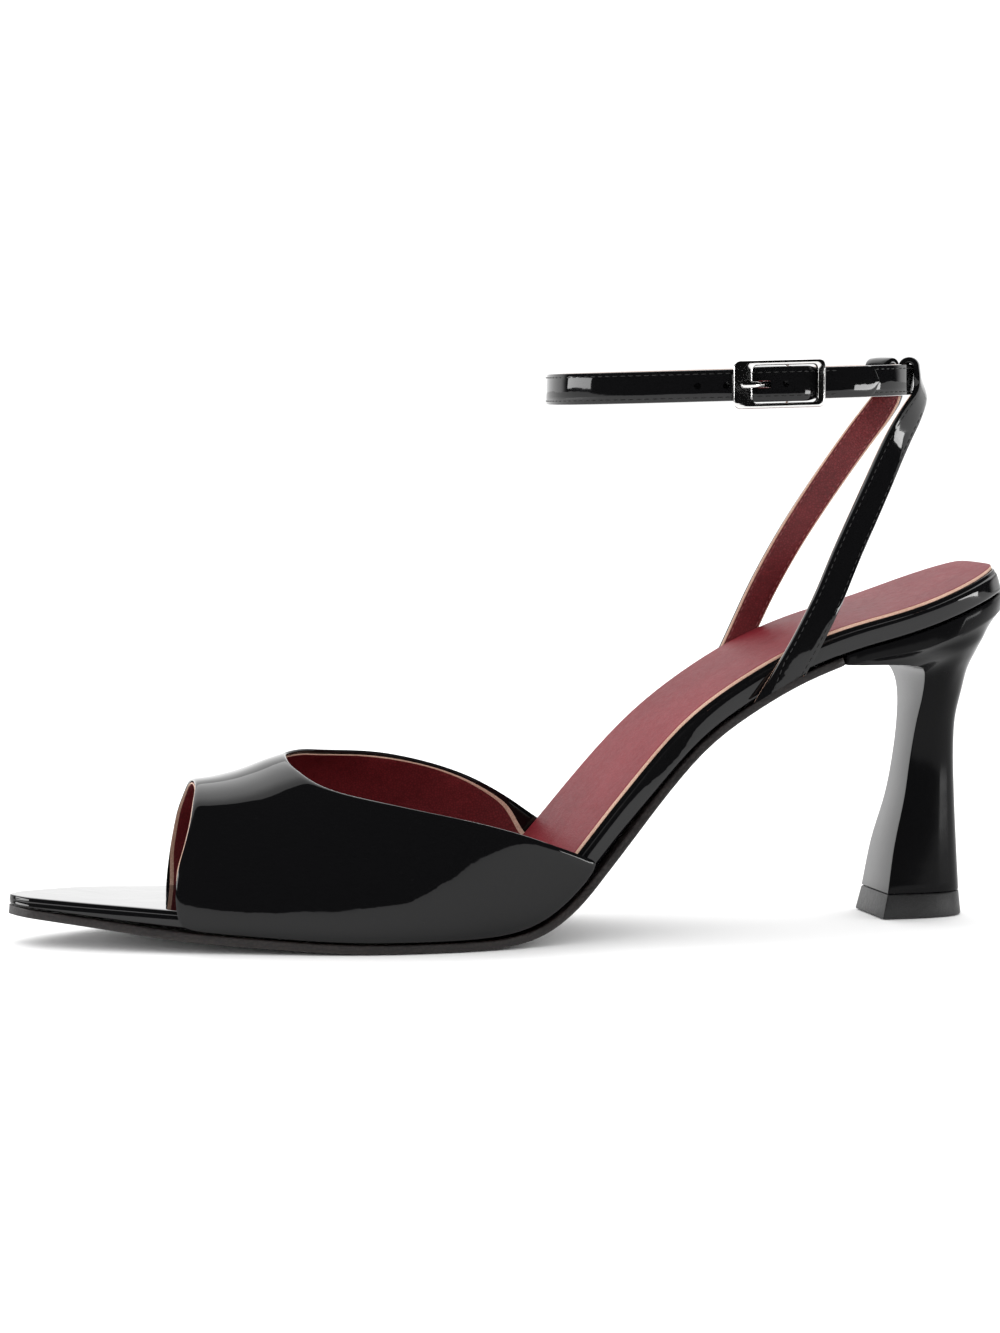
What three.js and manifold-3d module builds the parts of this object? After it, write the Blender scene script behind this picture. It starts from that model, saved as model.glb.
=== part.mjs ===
// Peep toe ankle strap sandal for the left foot, in millimetres.
// X points to the outer side of the foot, the toe points to -Y and Z is up.
// The origin is the middle of the heel tip's bottom face, on the floor.
import * as THREE from 'three';
import { mergeVertices } from 'three/addons/utils/BufferGeometryUtils.js';
import Module from 'manifold-3d';

const wasm = await Module();
wasm.setup();

// Whole shoe
const shoeLength = 250;
const seatReach = 23.5;
const heelRise = 81.2;
const toeSpring = 7;
const ballWidth = 75;
const seatWidth = 50;
const clearance = 0.3;

// Sole and insole
const outsoleThickness = 2.2;
const outsoleEnd = 0.802;
const platformThickness = 5.9;
const sockThickness = 0.8;
const sockMargin = 1.4;
const sockStart = 0.17;
const tipLength = 4.5;
const seatLength = 30;

// Vamp
const vampWall = 1.6;
const vampHeight = 40.8;
const vampProud = 0.3;
const sectionSquareness = 2.25;

// Heel
const heelTipLength = 23.4;
const heelTipWidth = 21;
const heelTipHeight = 6;
const heelMargin = 0.7;
const heelBackInset = 2;
const seatDrop = 3.2;

// Ankle strap
const strapWidth = 7.6;
const strapThickness = 1.6;
const foldThickness = 1;
const ankleHeight = 133.2;
const ankleTilt = 0.028;
const ankleLength = 92.4;
const ankleWidth = 59;
const ankleBack = -1.4;
const buckleY = -44.5;

// Back straps
const legWidth = 7.4;
const legThickness = 1.6;
const legEase = 0.35;
const legStation = 0.735;
const legAttachAngle = 13;
const medialBow = 2.5;

// Buckle
const frameLength = 22.4;
const frameHeight = 11.6;
const frameThickness = 1.6;
const frameFront = 4.6;
const frameRear = 2.1;
const frameSide = 1.3;
const frameCorner = 1.6;
const barRadius = 0.5;
const barPlace = 3;
const tailEnd = 27;
const prongWidth = 1.6;
const prongThickness = 0.8;
const eyeThickness = 0.6;

// A table turns rows of numbers into rows with named columns.
function table(names, rows) {
  return rows.map((row) => Object.fromEntries(names.map((name, i) => [name, row[i]])));
}

// A smooth curve through one column of a table, which never swings past its rows.
function through(rows, key, name) {
  const at = rows.map((row) => row[key]);
  const value = rows.map((row) => row[name]);
  const rate = at.slice(1).map((next, i) => (value[i + 1] - value[i]) / (next - at[i]));
  const slope = at.map((_, i) => {
    if (i === 0 || i === rate.length) {
      return rate[Math.min(i, rate.length - 1)];
    }
    const before = rate[i - 1];
    const after = rate[i];
    return before * after > 0 ? (2 * before * after) / (before + after) : 0;
  });
  return (place) => {
    const x = Math.min(Math.max(place, at[0]), at[at.length - 1]);
    let i = 0;
    while (i < rate.length - 1 && x > at[i + 1]) {
      i += 1;
    }
    const width = at[i + 1] - at[i];
    const s = (x - at[i]) / width;
    const rise = value[i + 1] - value[i];
    const bend = slope[i] * width - rise;
    const unbend = rise - slope[i + 1] * width;
    return value[i] + s * rise + s * (1 - s) * ((1 - s) * bend + s * unbend);
  };
}

const degrees = THREE.MathUtils.degToRad;
const mix = THREE.MathUtils.lerp;
const ease = (start, end, value) => THREE.MathUtils.smoothstep(value, start, end);
const steps = (from, to, count) => Array.from({ length: count + 1 }, (_, i) => mix(from, to, i / count));

// A closed body from points and triangles, with its faces pointing out.
function body(points, faces) {
  let volume = 0;
  for (let i = 0; i < faces.length; i += 3) {
    const [a, b, c] = [points[faces[i]], points[faces[i + 1]], points[faces[i + 2]]];
    volume += a.dot(b.clone().cross(c));
  }
  const order = volume < 0 ? faces.slice().reverse() : faces;
  const geometry = new THREE.BufferGeometry();
  const numbers = points.flatMap((point) => [point.x, point.y, point.z]);
  geometry.setAttribute('position', new THREE.Float32BufferAttribute(numbers, 3));
  geometry.setIndex(order);
  return geometry;
}

// A loft joins rings of equally many points. Each end ring is closed by rungs between its two halves.
function loft(rings) {
  const count = rings[0].length;
  const last = (rings.length - 1) * count;
  const faces = [];
  const quad = (a, b, c, d) => faces.push(a, b, c, a, c, d);
  for (let here = 0; here < last; here += count) {
    for (let i = 0; i < count; i += 1) {
      const j = (i + 1) % count;
      quad(here + i, here + j, here + count + j, here + count + i);
    }
  }
  for (let i = 0; i < count / 2 - 1; i += 1) {
    const far = count - 1 - i;
    quad(i, far, far - 1, i + 1);
    quad(last + i, last + i + 1, last + far - 1, last + far);
  }
  return body(rings.flat(), faces);
}

// A flat strip through stations that give its point, its width direction and its face direction.
function ribbon(stations) {
  const edge = 0.35;
  return loft(stations.map(({ point, across, out, width, thickness }) => {
    const half = width / 2;
    const skin = thickness / 2;
    return [[-half, -skin], [-half, skin - edge], [edge - half, skin], [half - edge, skin], [half, skin - edge],
      [half, -skin]].map(([u, v]) => point.clone().addScaledVector(across, u).addScaledVector(out, v));
  }));
}

// Solids for cuts and joins
function toManifold(geometry) {
  const bare = geometry.clone();
  bare.deleteAttribute('normal');
  bare.deleteAttribute('uv');
  const merged = mergeVertices(bare, 1e-4);
  const vertProperties = new Float32Array(merged.attributes.position.array);
  const triVerts = new Uint32Array(merged.index.array);
  return new wasm.Manifold(new wasm.Mesh({ numProp: 3, vertProperties, triVerts }));
}

function fromManifold(solid) {
  const { vertProperties, triVerts } = solid.getMesh();
  const geometry = new THREE.BufferGeometry();
  geometry.setAttribute('position', new THREE.BufferAttribute(new Float32Array(vertProperties), 3));
  geometry.setIndex(new THREE.BufferAttribute(new Uint32Array(triVerts), 1));
  return geometry;
}

// The bed is the top of the outsole. Along runs from the toe tip at 0 to the back of the seat at 1.
// Spring is a share of toeSpring and arch is a share of heelRise. Both are 0 where the ball stands.
const bedRows = table(['along', 'spring', 'arch'], [
  [0, 1, 0],
  [0.08, 0.7, 0],
  [0.15, 0.38, 0],
  [0.22, 0.19, 0],
  [0.28, 0.05, 0],
  [0.32, 0, 0],
  [0.43, 0, 0],
  [0.46, 0, 0.009],
  [0.483, 0, 0.026],
  [0.507, 0, 0.066],
  [0.53, 0, 0.124],
  [0.555, 0, 0.212],
  [0.6, 0, 0.374],
  [0.66, 0, 0.56],
  [0.71, 0, 0.665],
  [0.76, 0, 0.747],
  [0.81, 0, 0.805],
  [0.88, 0, 0.863],
  [1, 0, 1],
]);
const springAt = through(bedRows, 'along', 'spring');
const archAt = through(bedRows, 'along', 'arch');
const toeY = seatReach - shoeLength;
const yAt = (along) => toeY + shoeLength * along;
const alongAt = (y) => (y - toeY) / shoeLength;
const bedAt = (along) => outsoleThickness + toeSpring * springAt(along) + heelRise * archAt(along);

// The bed's point at a station, and the direction square to it
function bedFrame(along) {
  const reach = 0.004;
  const behind = Math.max(along - reach, 0);
  const ahead = Math.min(along + reach, 1);
  const slope = (bedAt(ahead) - bedAt(behind)) / (shoeLength * (ahead - behind));
  const length = Math.hypot(1, slope);
  return { y: yAt(along), z: bedAt(along), upY: -slope / length, upZ: 1 / length };
}

// The plan outline. Lateral and medial are shares of the local width, ballWidth before the waist
// and seatWidth behind it.
const planRows = table(['along', 'lateral', 'medial'], [
  [0, 0.01, -0.125],
  [0.058, 0.147, -0.26],
  [0.106, 0.24, -0.347],
  [0.146, 0.307, -0.4],
  [0.186, 0.36, -0.44],
  [0.226, 0.407, -0.467],
  [0.266, 0.453, -0.48],
  [0.306, 0.487, -0.484],
  [0.346, 0.507, -0.473],
  [0.386, 0.511, -0.447],
  [0.426, 0.5, -0.407],
  [0.466, 0.477, -0.367],
  [0.506, 0.447, -0.333],
  [0.556, 0.408, -0.285],
  [0.6, 0.412, -0.279],
  [0.64, 0.44, -0.31],
  [0.7, 0.495, -0.378],
  [0.78, 0.488, -0.43],
  [0.88, 0.504, -0.492],
  [1, 0.504, -0.496],
]);
const lateralShare = through(planRows, 'along', 'lateral');
const medialShare = through(planRows, 'along', 'medial');

// The outline at a station, moved in by inset all round
function outline(along, inset = 0) {
  const width = mix(ballWidth, seatWidth, ease(0.556, 0.7, along));
  const lateral = width * lateralShare(along);
  const medial = width * medialShare(along);
  const tip = Math.min(Math.max((along * shoeLength - inset) / tipLength, 0), 1);
  const seat = 1 - Math.min(Math.max(((1 - along) * shoeLength - inset) / (seatLength - inset), 0), 1);
  const roundness = 2.3;
  const round = Math.sqrt(1 - (1 - tip) ** 2) * (1 - seat ** roundness) ** (1 / roundness);
  const half = ((lateral - medial) / 2 - inset) * round;
  const middle = (lateral + medial) / 2;
  return { lateral: middle + half, medial: middle - half };
}

// Stations along the sole crowd together at its round ends
const tipShare = tipLength / shoeLength;
const seatShare = seatLength / shoeLength;
const fineSteps = 7;
const soleStations = [
  ...steps(20, 90, 4).map((angle) => tipShare * (1 - Math.cos(degrees(angle)))),
  ...steps(0.04, 0.44, 12),
  ...steps(0.455, 0.56, 8),
  ...steps(0.58, 1 - seatShare, 9),
  ...steps(15, 82, fineSteps).map((angle) => 1 - seatShare * (1 - Math.sin(degrees(angle)))),
];

// A point of a sole section, at an offset square to the bed
function solePoint(along, x, offset) {
  const { y, z, upY, upZ } = bedFrame(along);
  return new THREE.Vector3(x, y + upY * offset, z + upZ * offset);
}

// The platform's side moves in under the vamp, which is lasted over it
const platformInset = (along) => (vampWall + clearance - vampProud + 0.2)
  * ease(0.07, 0.14, along) * (1 - ease(0.57, 0.615, along));

// Platform thickness as shares of platformThickness
const platformRows = table(['along', 'share'], [
  [0, 0.36],
  [0.04, 0.46],
  [0.08, 0.56],
  [0.122, 0.68],
  [0.16, 0.76],
  [0.3, 0.86],
  [0.5, 0.94],
  [0.66, 1],
  [1, 1],
]);
const platformShare = through(platformRows, 'along', 'share');
const platformTop = (along) => clearance + platformThickness * platformShare(along);

// Outsole
function makeOutsole() {
  const edge = 0.5;
  const inset = 0.4;
  const places = [...soleStations.filter((along) => along < outsoleEnd - 0.01), outsoleEnd];
  return loft(places.map((along) => {
    const { lateral, medial } = outline(along, inset);
    const soft = Math.min(edge, (lateral - medial) / 6);
    return [
      solePoint(along, lateral - soft, -outsoleThickness),
      solePoint(along, lateral, soft - outsoleThickness),
      solePoint(along, lateral, 0),
      solePoint(along, medial, 0),
      solePoint(along, medial, soft - outsoleThickness),
      solePoint(along, medial + soft, -outsoleThickness),
    ];
  }));
}

// Platform, with a softly rounded top edge
function makePlatform() {
  const edge = 1;
  return loft(soleStations.map((along) => {
    const { lateral, medial } = outline(along, platformInset(along));
    const soft = Math.min(edge, (lateral - medial) / 6);
    const top = platformTop(along);
    return [
      solePoint(along, lateral, clearance),
      solePoint(along, lateral, top - soft),
      solePoint(along, lateral - soft * 0.3, top - soft * 0.3),
      solePoint(along, lateral - soft, top),
      solePoint(along, medial + soft, top),
      solePoint(along, medial + soft * 0.3, top - soft * 0.3),
      solePoint(along, medial, top - soft),
      solePoint(along, medial, clearance),
    ];
  }));
}

// Sock, a padded insole with a crowned top
function makeSock() {
  const edge = 0.3;
  const crown = 0.2;
  const sockEnd = 1 - sockMargin / shoeLength;
  const sides = steps(-1, 1, 6);
  const inside = soleStations.filter((along) => along > sockStart + 0.01 && along < sockEnd - 0.001);
  return loft([sockStart, ...inside].map((along) => {
    const { lateral, medial } = outline(along, platformInset(along) + sockMargin);
    const low = platformTop(along) + clearance;
    const high = low + sockThickness;
    const half = (lateral - medial) / 2;
    const middle = (lateral + medial) / 2;
    const soft = Math.min(edge, half / 3);
    const top = sides.map((share) => {
      return solePoint(along, middle - share * (half - soft), high - crown * share * share);
    });
    return [
      solePoint(along, lateral, low),
      solePoint(along, lateral, high - crown - soft),
      ...top,
      solePoint(along, medial, high - crown - soft),
      solePoint(along, medial, low),
    ];
  }));
}

// Vamp. Instep is the height of its section over the bed, as a share of vampHeight.
const instepRows = table(['along', 'share'], [
  [0.13, 0.78],
  [0.178, 0.826],
  [0.2, 0.85],
  [0.218, 0.88],
  [0.233, 0.915],
  [0.25, 0.965],
  [0.266, 1.002],
  [0.306, 1.081],
  [0.346, 1.152],
  [0.426, 1.28],
  [0.506, 1.25],
  [0.57, 0.93],
]);
const instepShare = through(instepRows, 'along', 'share');

// The vamp's two edges. Turn goes round the section from the outer side at 0 over the ridge at 90
// to the inner side at 180. Opening is at the toes and throat is at the instep.
const edgeRows = table(['turn', 'opening', 'throat'], [
  [0, 0.146, 0.553],
  [10, 0.142, 0.526],
  [16, 0.143, 0.505],
  [22, 0.145, 0.482],
  [26, 0.147, 0.458],
  [30, 0.15, 0.422],
  [34, 0.153, 0.388],
  [39, 0.156, 0.356],
  [51, 0.163, 0.298],
  [58, 0.166, 0.28],
  [67, 0.17, 0.27],
  [78, 0.175, 0.264],
  [95, 0.179, 0.27],
  [105, 0.18, 0.292],
  [116, 0.18, 0.318],
  [125, 0.179, 0.36],
  [133, 0.177, 0.399],
  [140, 0.175, 0.447],
  [146, 0.174, 0.477],
  [154, 0.172, 0.501],
  [162, 0.17, 0.522],
  [170, 0.168, 0.54],
  [180, 0.166, 0.56],
]);
const openingAt = through(edgeRows, 'turn', 'opening');
const throatAt = through(edgeRows, 'turn', 'throat');

// A point of the vamp's skin, moved in by depth
function vampPoint(along, turn, depth) {
  const { lateral, medial } = outline(along);
  const middle = (lateral + medial) / 2;
  const half = (lateral - medial) / 2 + vampProud - depth;
  const angle = degrees(turn);
  const power = 2 / sectionSquareness;
  const side = Math.sign(Math.cos(angle)) * Math.abs(Math.cos(angle)) ** power;
  const { y, z, upZ } = bedFrame(along);
  const rise = vampHeight * instepShare(along) - depth;
  return new THREE.Vector3(middle + half * side, y, z + clearance / upZ + rise * Math.sin(angle) ** power);
}

function makeVamp() {
  const turns = [...steps(0, 28, 5), ...steps(34, 152, 20), ...steps(158, 180, 4)];
  const lengthSteps = 14;
  return loft(turns.map((turn) => {
    const places = steps(openingAt(turn), throatAt(turn), lengthSteps);
    return [
      ...places.map((along) => vampPoint(along, turn, 0)),
      ...places.reverse().map((along) => vampPoint(along, turn, vampWall)),
    ];
  }));
}

// Heel. Each row is a ring that leans from its breast to its back. Heights are shares of heelRise,
// places along Y are shares of heelTipLength and half widths are shares of heelTipWidth.
const heelRows = table(['low', 'high', 'breast', 'back', 'edge', 'side'], [
  [0.22, 0.22, -0.3, 0.503, 0.42, 0.45],
  [0.37, 0.37, -0.165, 0.478, 0.345, 0.4],
  [0.5, 0.51, -0.09, 0.465, 0.315, 0.372],
  [0.6, 0.615, -0.04, 0.477, 0.35, 0.405],
  [0.68, 0.7, -0.006, 0.53, 0.44, 0.5],
  [0.735, 0.775, -0.012, 0.57, 0.54, 0.66],
  [0.768, 0.835, -0.06, 0.645, 0.66, 0.83],
  [0.786, 0.89, -0.2, 0.725, 0.84, 0.99],
]);
const tipTopRow = { breast: -0.385, back: 0.531, edge: 0.473, side: 0.49 };
const tipFootRow = { breast: -0.445, back: 0.555, edge: 0.5, side: 0.52 };
const heelTurns = steps(0, 86, 11);

// A D shaped ring, flat at the breast and round at the back
function heelRing({ breast, back, edge, side }, low, high) {
  const fullness = 2 / 3;
  const front = heelTipLength * breast;
  const depth = heelTipLength * (back - breast);
  const lateral = heelTurns.map((turn) => {
    const angle = degrees(turn);
    const reach = Math.sin(angle) ** fullness;
    const half = mix(edge, side, ease(0, 0.55, reach)) * Math.cos(angle) ** fullness;
    return new THREE.Vector3(heelTipWidth * half, front + depth * reach, mix(low, high, reach));
  });
  const medial = lateral.map((point) => new THREE.Vector3(-point.x, point.y, point.z)).reverse();
  return [...lateral, ...medial];
}

// A ring under the seat, which follows the outline of the sole
function seatRing(drop) {
  const front = yAt(outsoleEnd) - bedFrame(outsoleEnd).upY * outsoleThickness + clearance;
  const back = seatReach - heelBackInset;
  const rows = heelTurns.map((turn) => {
    const along = alongAt(mix(front, back, Math.sin(degrees(turn)) ** 1.1));
    const { lateral, medial } = outline(along, heelMargin);
    const z = bedAt(along) - drop * (0.64 + 0.7 * ease(0, 0.1, along - outsoleEnd));
    const y = yAt(along);
    return { lateral: new THREE.Vector3(lateral, y, z), medial: new THREE.Vector3(medial, y, z) };
  });
  return [...rows.map((row) => row.lateral), ...rows.map((row) => row.medial).reverse()];
}

function makeHeel() {
  const foot = heelTipHeight + clearance;
  const rings = heelRows.map((row) => heelRing(row, heelRise * row.low, heelRise * row.high));
  return loft([heelRing(tipTopRow, foot, foot), ...rings, seatRing(seatDrop), seatRing(0)]);
}

function makeHeelTip() {
  return loft([heelRing(tipFootRow, 0, 0), heelRing(tipTopRow, heelTipHeight, heelTipHeight)]);
}

// Ankle ring. Strap space has a length round the ring from the buckle towards the back, a height over
// the strap's middle line and a distance out from the inner layer's middle.
const up = new THREE.Vector3(0, 0, 1);
const ringSquareness = 2.2;
const ringMiddleY = ankleBack - ankleLength / 2;
function ringPoint(angle) {
  const side = Math.abs(Math.sin(angle)) / (ankleWidth / 2 - strapThickness / 2);
  const end = Math.abs(Math.cos(angle)) / (ankleLength / 2 - strapThickness / 2);
  const radius = (side ** ringSquareness + end ** ringSquareness) ** (-1 / ringSquareness);
  return new THREE.Vector2(radius * Math.sin(angle), ringMiddleY + radius * Math.cos(angle));
}

// The place at an angle round the ring, which is 0 at the back and grows towards the outer side
function ringPlace(angle, height = 0, out = 0) {
  const here = ringPoint(angle);
  const run = ringPoint(angle - 0.01).sub(ringPoint(angle + 0.01)).normalize();
  const normal = new THREE.Vector3(run.y, -run.x, 0);
  const level = ankleHeight + ankleTilt * (here.y - ringMiddleY);
  return {
    point: new THREE.Vector3(here.x, here.y, level + height).addScaledVector(normal, out),
    out: normal,
    forward: new THREE.Vector3(run.x, run.y, 0),
  };
}

const ringSamples = 720;
const fullTurn = 2 * Math.PI;
const ringTable = Array.from({ length: ringSamples + 1 }, (_, i) => ringPoint((i * fullTurn) / ringSamples));
const ringLengths = ringTable.reduce((sums, point, i) => {
  sums.push(i === 0 ? 0 : sums[i - 1] + point.distanceTo(ringTable[i - 1]));
  return sums;
}, []);
const ringLength = ringLengths[ringSamples];
const buckleAngle = Math.acos((buckleY - ringMiddleY) / (ankleLength / 2));
const buckleRun = ringLengths[Math.round((buckleAngle / fullTurn) * ringSamples)];

// The place for a length in strap space
function onRing(length, height = 0, out = 0) {
  const run = (((buckleRun - length) % ringLength) + ringLength) % ringLength;
  let i = 0;
  while (i < ringSamples - 1 && ringLengths[i + 1] < run) {
    i += 1;
  }
  const part = (run - ringLengths[i]) / (ringLengths[i + 1] - ringLengths[i]);
  return ringPlace(((i + part) * fullTurn) / ringSamples, height, out);
}

// Distances out from the middle of the inner layer. The bar lies at 0, in the fold of the short end.
const layerOut = strapThickness + clearance;
const loopRadius = barRadius + clearance + foldThickness / 2;
const overFoldOut = loopRadius + foldThickness / 2 + clearance + strapThickness / 2;
const frameOut = layerOut + strapThickness / 2 + clearance + frameThickness / 2;
const frameHalf = frameLength / 2;
const frameInner = frameFront - frameHalf;

// The outer layer through the buckle, by length from the bar. Level 0 lies on the ring,
// 1 rests on the inner layer and 2 passes over the fold.
const outerRows = table(['length', 'level'], [
  [-29, 0],
  [-20, 0.5],
  [-14.5, 0.97],
  [-9.3, 1],
  [-4.5, 1.5],
  [-1.6, 2],
  [1.6, 2],
  [4.4, 1.5],
  [6.4, 1],
  [25, 1],
]);
const levelAt = through(outerRows, 'length', 'level');

function outerOut(length) {
  const level = levelAt(length - barPlace);
  return level <= 1 ? layerOut * level : mix(layerOut, overFoldOut, level - 1);
}

// The short end rises from the ring to the top of its fold, and is skived thin on the way
const shortRows = table(['length', 'rise', 'skive'], [
  [0, 1, 1],
  [2, 0.87, 1],
  [4, 0.5, 1],
  [6, 0.17, 0.9],
  [8, 0.03, 0.6],
  [12, 0, 0],
]);
const shortRise = through(shortRows, 'length', 'rise');
const shortSkive = through(shortRows, 'length', 'skive');

// A station of the strap, tilted by the slope of its path
function strapStation(length, outAt, thickness) {
  const reach = 0.3;
  const slope = (outAt(length + reach) - outAt(length - reach)) / (2 * reach);
  const place = onRing(length, 0, outAt(length));
  const face = place.out.clone().addScaledVector(place.forward, -slope).normalize();
  return { point: place.point, across: up, out: face, width: strapWidth, thickness };
}

// A cutter through the middle of the strap, between two lengths and two distances out
function strapHole(from, to, low, high) {
  const half = prongWidth / 2 + clearance;
  return toManifold(loft(steps(from, to, 4).map((length) => [
    onRing(length, -half, low).point,
    onRing(length, half, low).point,
    onRing(length, half, high).point,
    onRing(length, -half, high).point,
  ])));
}

// Ankle strap. Its long end goes under the frame, over the bar and ends in a tail,
// and its short end is folded round the bar.
function makeAnkleStrap() {
  const long = [...steps(tailEnd, 15, 2), ...steps(12, -12, 18), ...steps(-15, -26, 3)];
  const outer = long.map((length) => strapStation(length, outerOut, strapThickness));
  const ring = steps(-31, barPlace + 14 - ringLength, 50).map((length) => {
    return strapStation(length, () => 0, strapThickness);
  });
  const short = steps(12, 1, 8).map((beyond) => {
    const thickness = mix(strapThickness, foldThickness, shortSkive(beyond));
    return strapStation(barPlace + beyond, (length) => loopRadius * shortRise(length - barPlace), thickness);
  });
  const fold = steps(90, -90, 8).map((angle) => {
    const turn = degrees(angle);
    const place = onRing(barPlace - loopRadius * Math.cos(turn), 0, loopRadius * Math.sin(turn));
    const face = place.out.clone().multiplyScalar(Math.sin(turn));
    face.addScaledVector(place.forward, -Math.cos(turn));
    return { point: place.point, across: up, out: face, width: strapWidth, thickness: foldThickness };
  });
  const under = [2.5, 5].map((beyond) => {
    const place = onRing(barPlace + beyond, 0, -loopRadius);
    const face = place.out.clone().negate();
    return { point: place.point, across: up, out: face, width: strapWidth, thickness: foldThickness };
  });
  const strip = toManifold(ribbon([...outer, ...ring, ...short, ...fold, ...under]));
  const prongHole = strapHole(frameInner + 1.3, frameInner + 5.7, 0.5, overFoldOut + strapThickness);
  const eyeReach = barRadius + clearance + eyeThickness + clearance;
  const eyeSlotTop = overFoldOut - strapThickness / 2 - 0.1;
  const eyeSlot = strapHole(barPlace - eyeReach - 1, barPlace + eyeReach, -3, eyeSlotTop);
  return fromManifold(strip.subtract(prongHole).subtract(eyeSlot));
}

// Half heights along a rectangle with round corners
function roundedPlan(from, to, half, radius) {
  const corner = (end, direction) => steps(0, 90, 4).map((angle) => {
    const turn = degrees(angle);
    return [end + direction * radius * (1 - Math.cos(turn)), half - radius * (1 - Math.sin(turn))];
  });
  const middle = steps(from + radius, to - radius, 4).slice(1, -1).map((length) => [length, half]);
  return [...corner(from, 1), ...middle, ...corner(to, -1).reverse()];
}

// A plate bent round the ankle, between two distances out
function bentPlate(plan, low, high) {
  return toManifold(loft(plan.map(([length, height]) => [
    onRing(length, -height, low).point,
    onRing(length, height, low).point,
    onRing(length, height, high).point,
    onRing(length, -height, high).point,
  ])));
}

// Buckle frame with its centre bar
function makeBuckleFrame() {
  const skin = frameThickness / 2;
  const opening = frameHeight / 2 - frameSide;
  const plan = roundedPlan(-frameHalf, frameHalf, frameHeight / 2, frameCorner);
  const plate = bentPlate(plan, frameOut - skin, frameOut + skin);
  const cutPlan = roundedPlan(frameInner, frameHalf - frameRear, opening, frameCorner);
  const cut = bentPlate(cutPlan, 0, 2 * frameOut);
  const barEnd = frameHeight / 2 - frameSide / 2;
  const bar = toManifold(loft(steps(-barEnd, barEnd, 2).map((height) => steps(0, 315, 7).map((angle) => {
    const turn = degrees(angle);
    return onRing(barPlace + barRadius * Math.cos(turn), height, barRadius * Math.sin(turn)).point;
  }))));
  const lugs = [1, -1].map((side) => toManifold(loft([barPlace - 1, barPlace + 1].map((length) => [
    onRing(length, side * opening, -barRadius).point,
    onRing(length, (side * frameHeight) / 2, -barRadius).point,
    onRing(length, (side * frameHeight) / 2, frameOut).point,
    onRing(length, side * opening, frameOut).point,
  ]))));
  return fromManifold(plate.subtract(cut).add(bar).add(lugs[0]).add(lugs[1]));
}

// Buckle prong. Its eye goes round the bar and its tip rests over the front of the frame.
function makeBuckleProng() {
  const eyeRadius = barRadius + clearance + eyeThickness / 2;
  const restOut = frameOut + frameThickness / 2 + clearance + prongThickness / 2;
  const eye = steps(135, -90, 8).map((angle) => {
    const turn = degrees(angle);
    return new THREE.Vector2(barPlace + eyeRadius * Math.cos(turn), eyeRadius * Math.sin(turn));
  });
  const arm = [
    new THREE.Vector2(barPlace - 1.6, -eyeRadius * 0.6),
    new THREE.Vector2(barPlace - 2.9, eyeRadius * 0.35),
    new THREE.Vector2(frameInner + 5.9, eyeRadius * 0.75),
    new THREE.Vector2(frameInner + 4.1, mix(eyeRadius, restOut, 0.17)),
    new THREE.Vector2(frameInner + 2.5, mix(eyeRadius, restOut, 0.53)),
    new THREE.Vector2(frameInner + 1.1, mix(eyeRadius, restOut, 0.86)),
    new THREE.Vector2(frameInner - 0.1, restOut),
    new THREE.Vector2(frameInner - 2.6, restOut),
  ];
  const path = [...eye, ...arm];
  const stations = path.map((spot, i) => {
    const before = path[Math.max(i - 1, 0)];
    const after = path[Math.min(i + 1, path.length - 1)];
    const run = after.clone().sub(before).normalize();
    const place = onRing(spot.x, 0, spot.y);
    const face = place.out.clone().multiplyScalar(-run.x).addScaledVector(place.forward, run.y);
    const thickness = mix(eyeThickness, prongThickness, ease(eye.length - 1, eye.length + 2, i));
    return { point: place.point, across: up, out: face, width: prongWidth, thickness };
  });
  return ribbon(stations);
}

// Back straps. Rows follow a leg from the sole at 0 to the ankle strap at 1. Lean and back are shares
// of its way in towards the ring and back towards the heel, and turn is how far it has faced round.
const legRows = table(['rise', 'lean', 'back', 'turn'], [
  [0, 0, 0, 0],
  [0.1, 0, 0.11, 0],
  [0.25, 0.05, 0.26, 0.03],
  [0.45, 0.32, 0.45, 0.1],
  [0.65, 0.61, 0.65, 0.2],
  [0.85, 0.88, 0.85, 0.4],
  [1, 1, 1, 0.9],
]);
const legLean = through(legRows, 'rise', 'lean');
const legBack = through(legRows, 'rise', 'back');
const legTurn = through(legRows, 'rise', 'turn');

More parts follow.
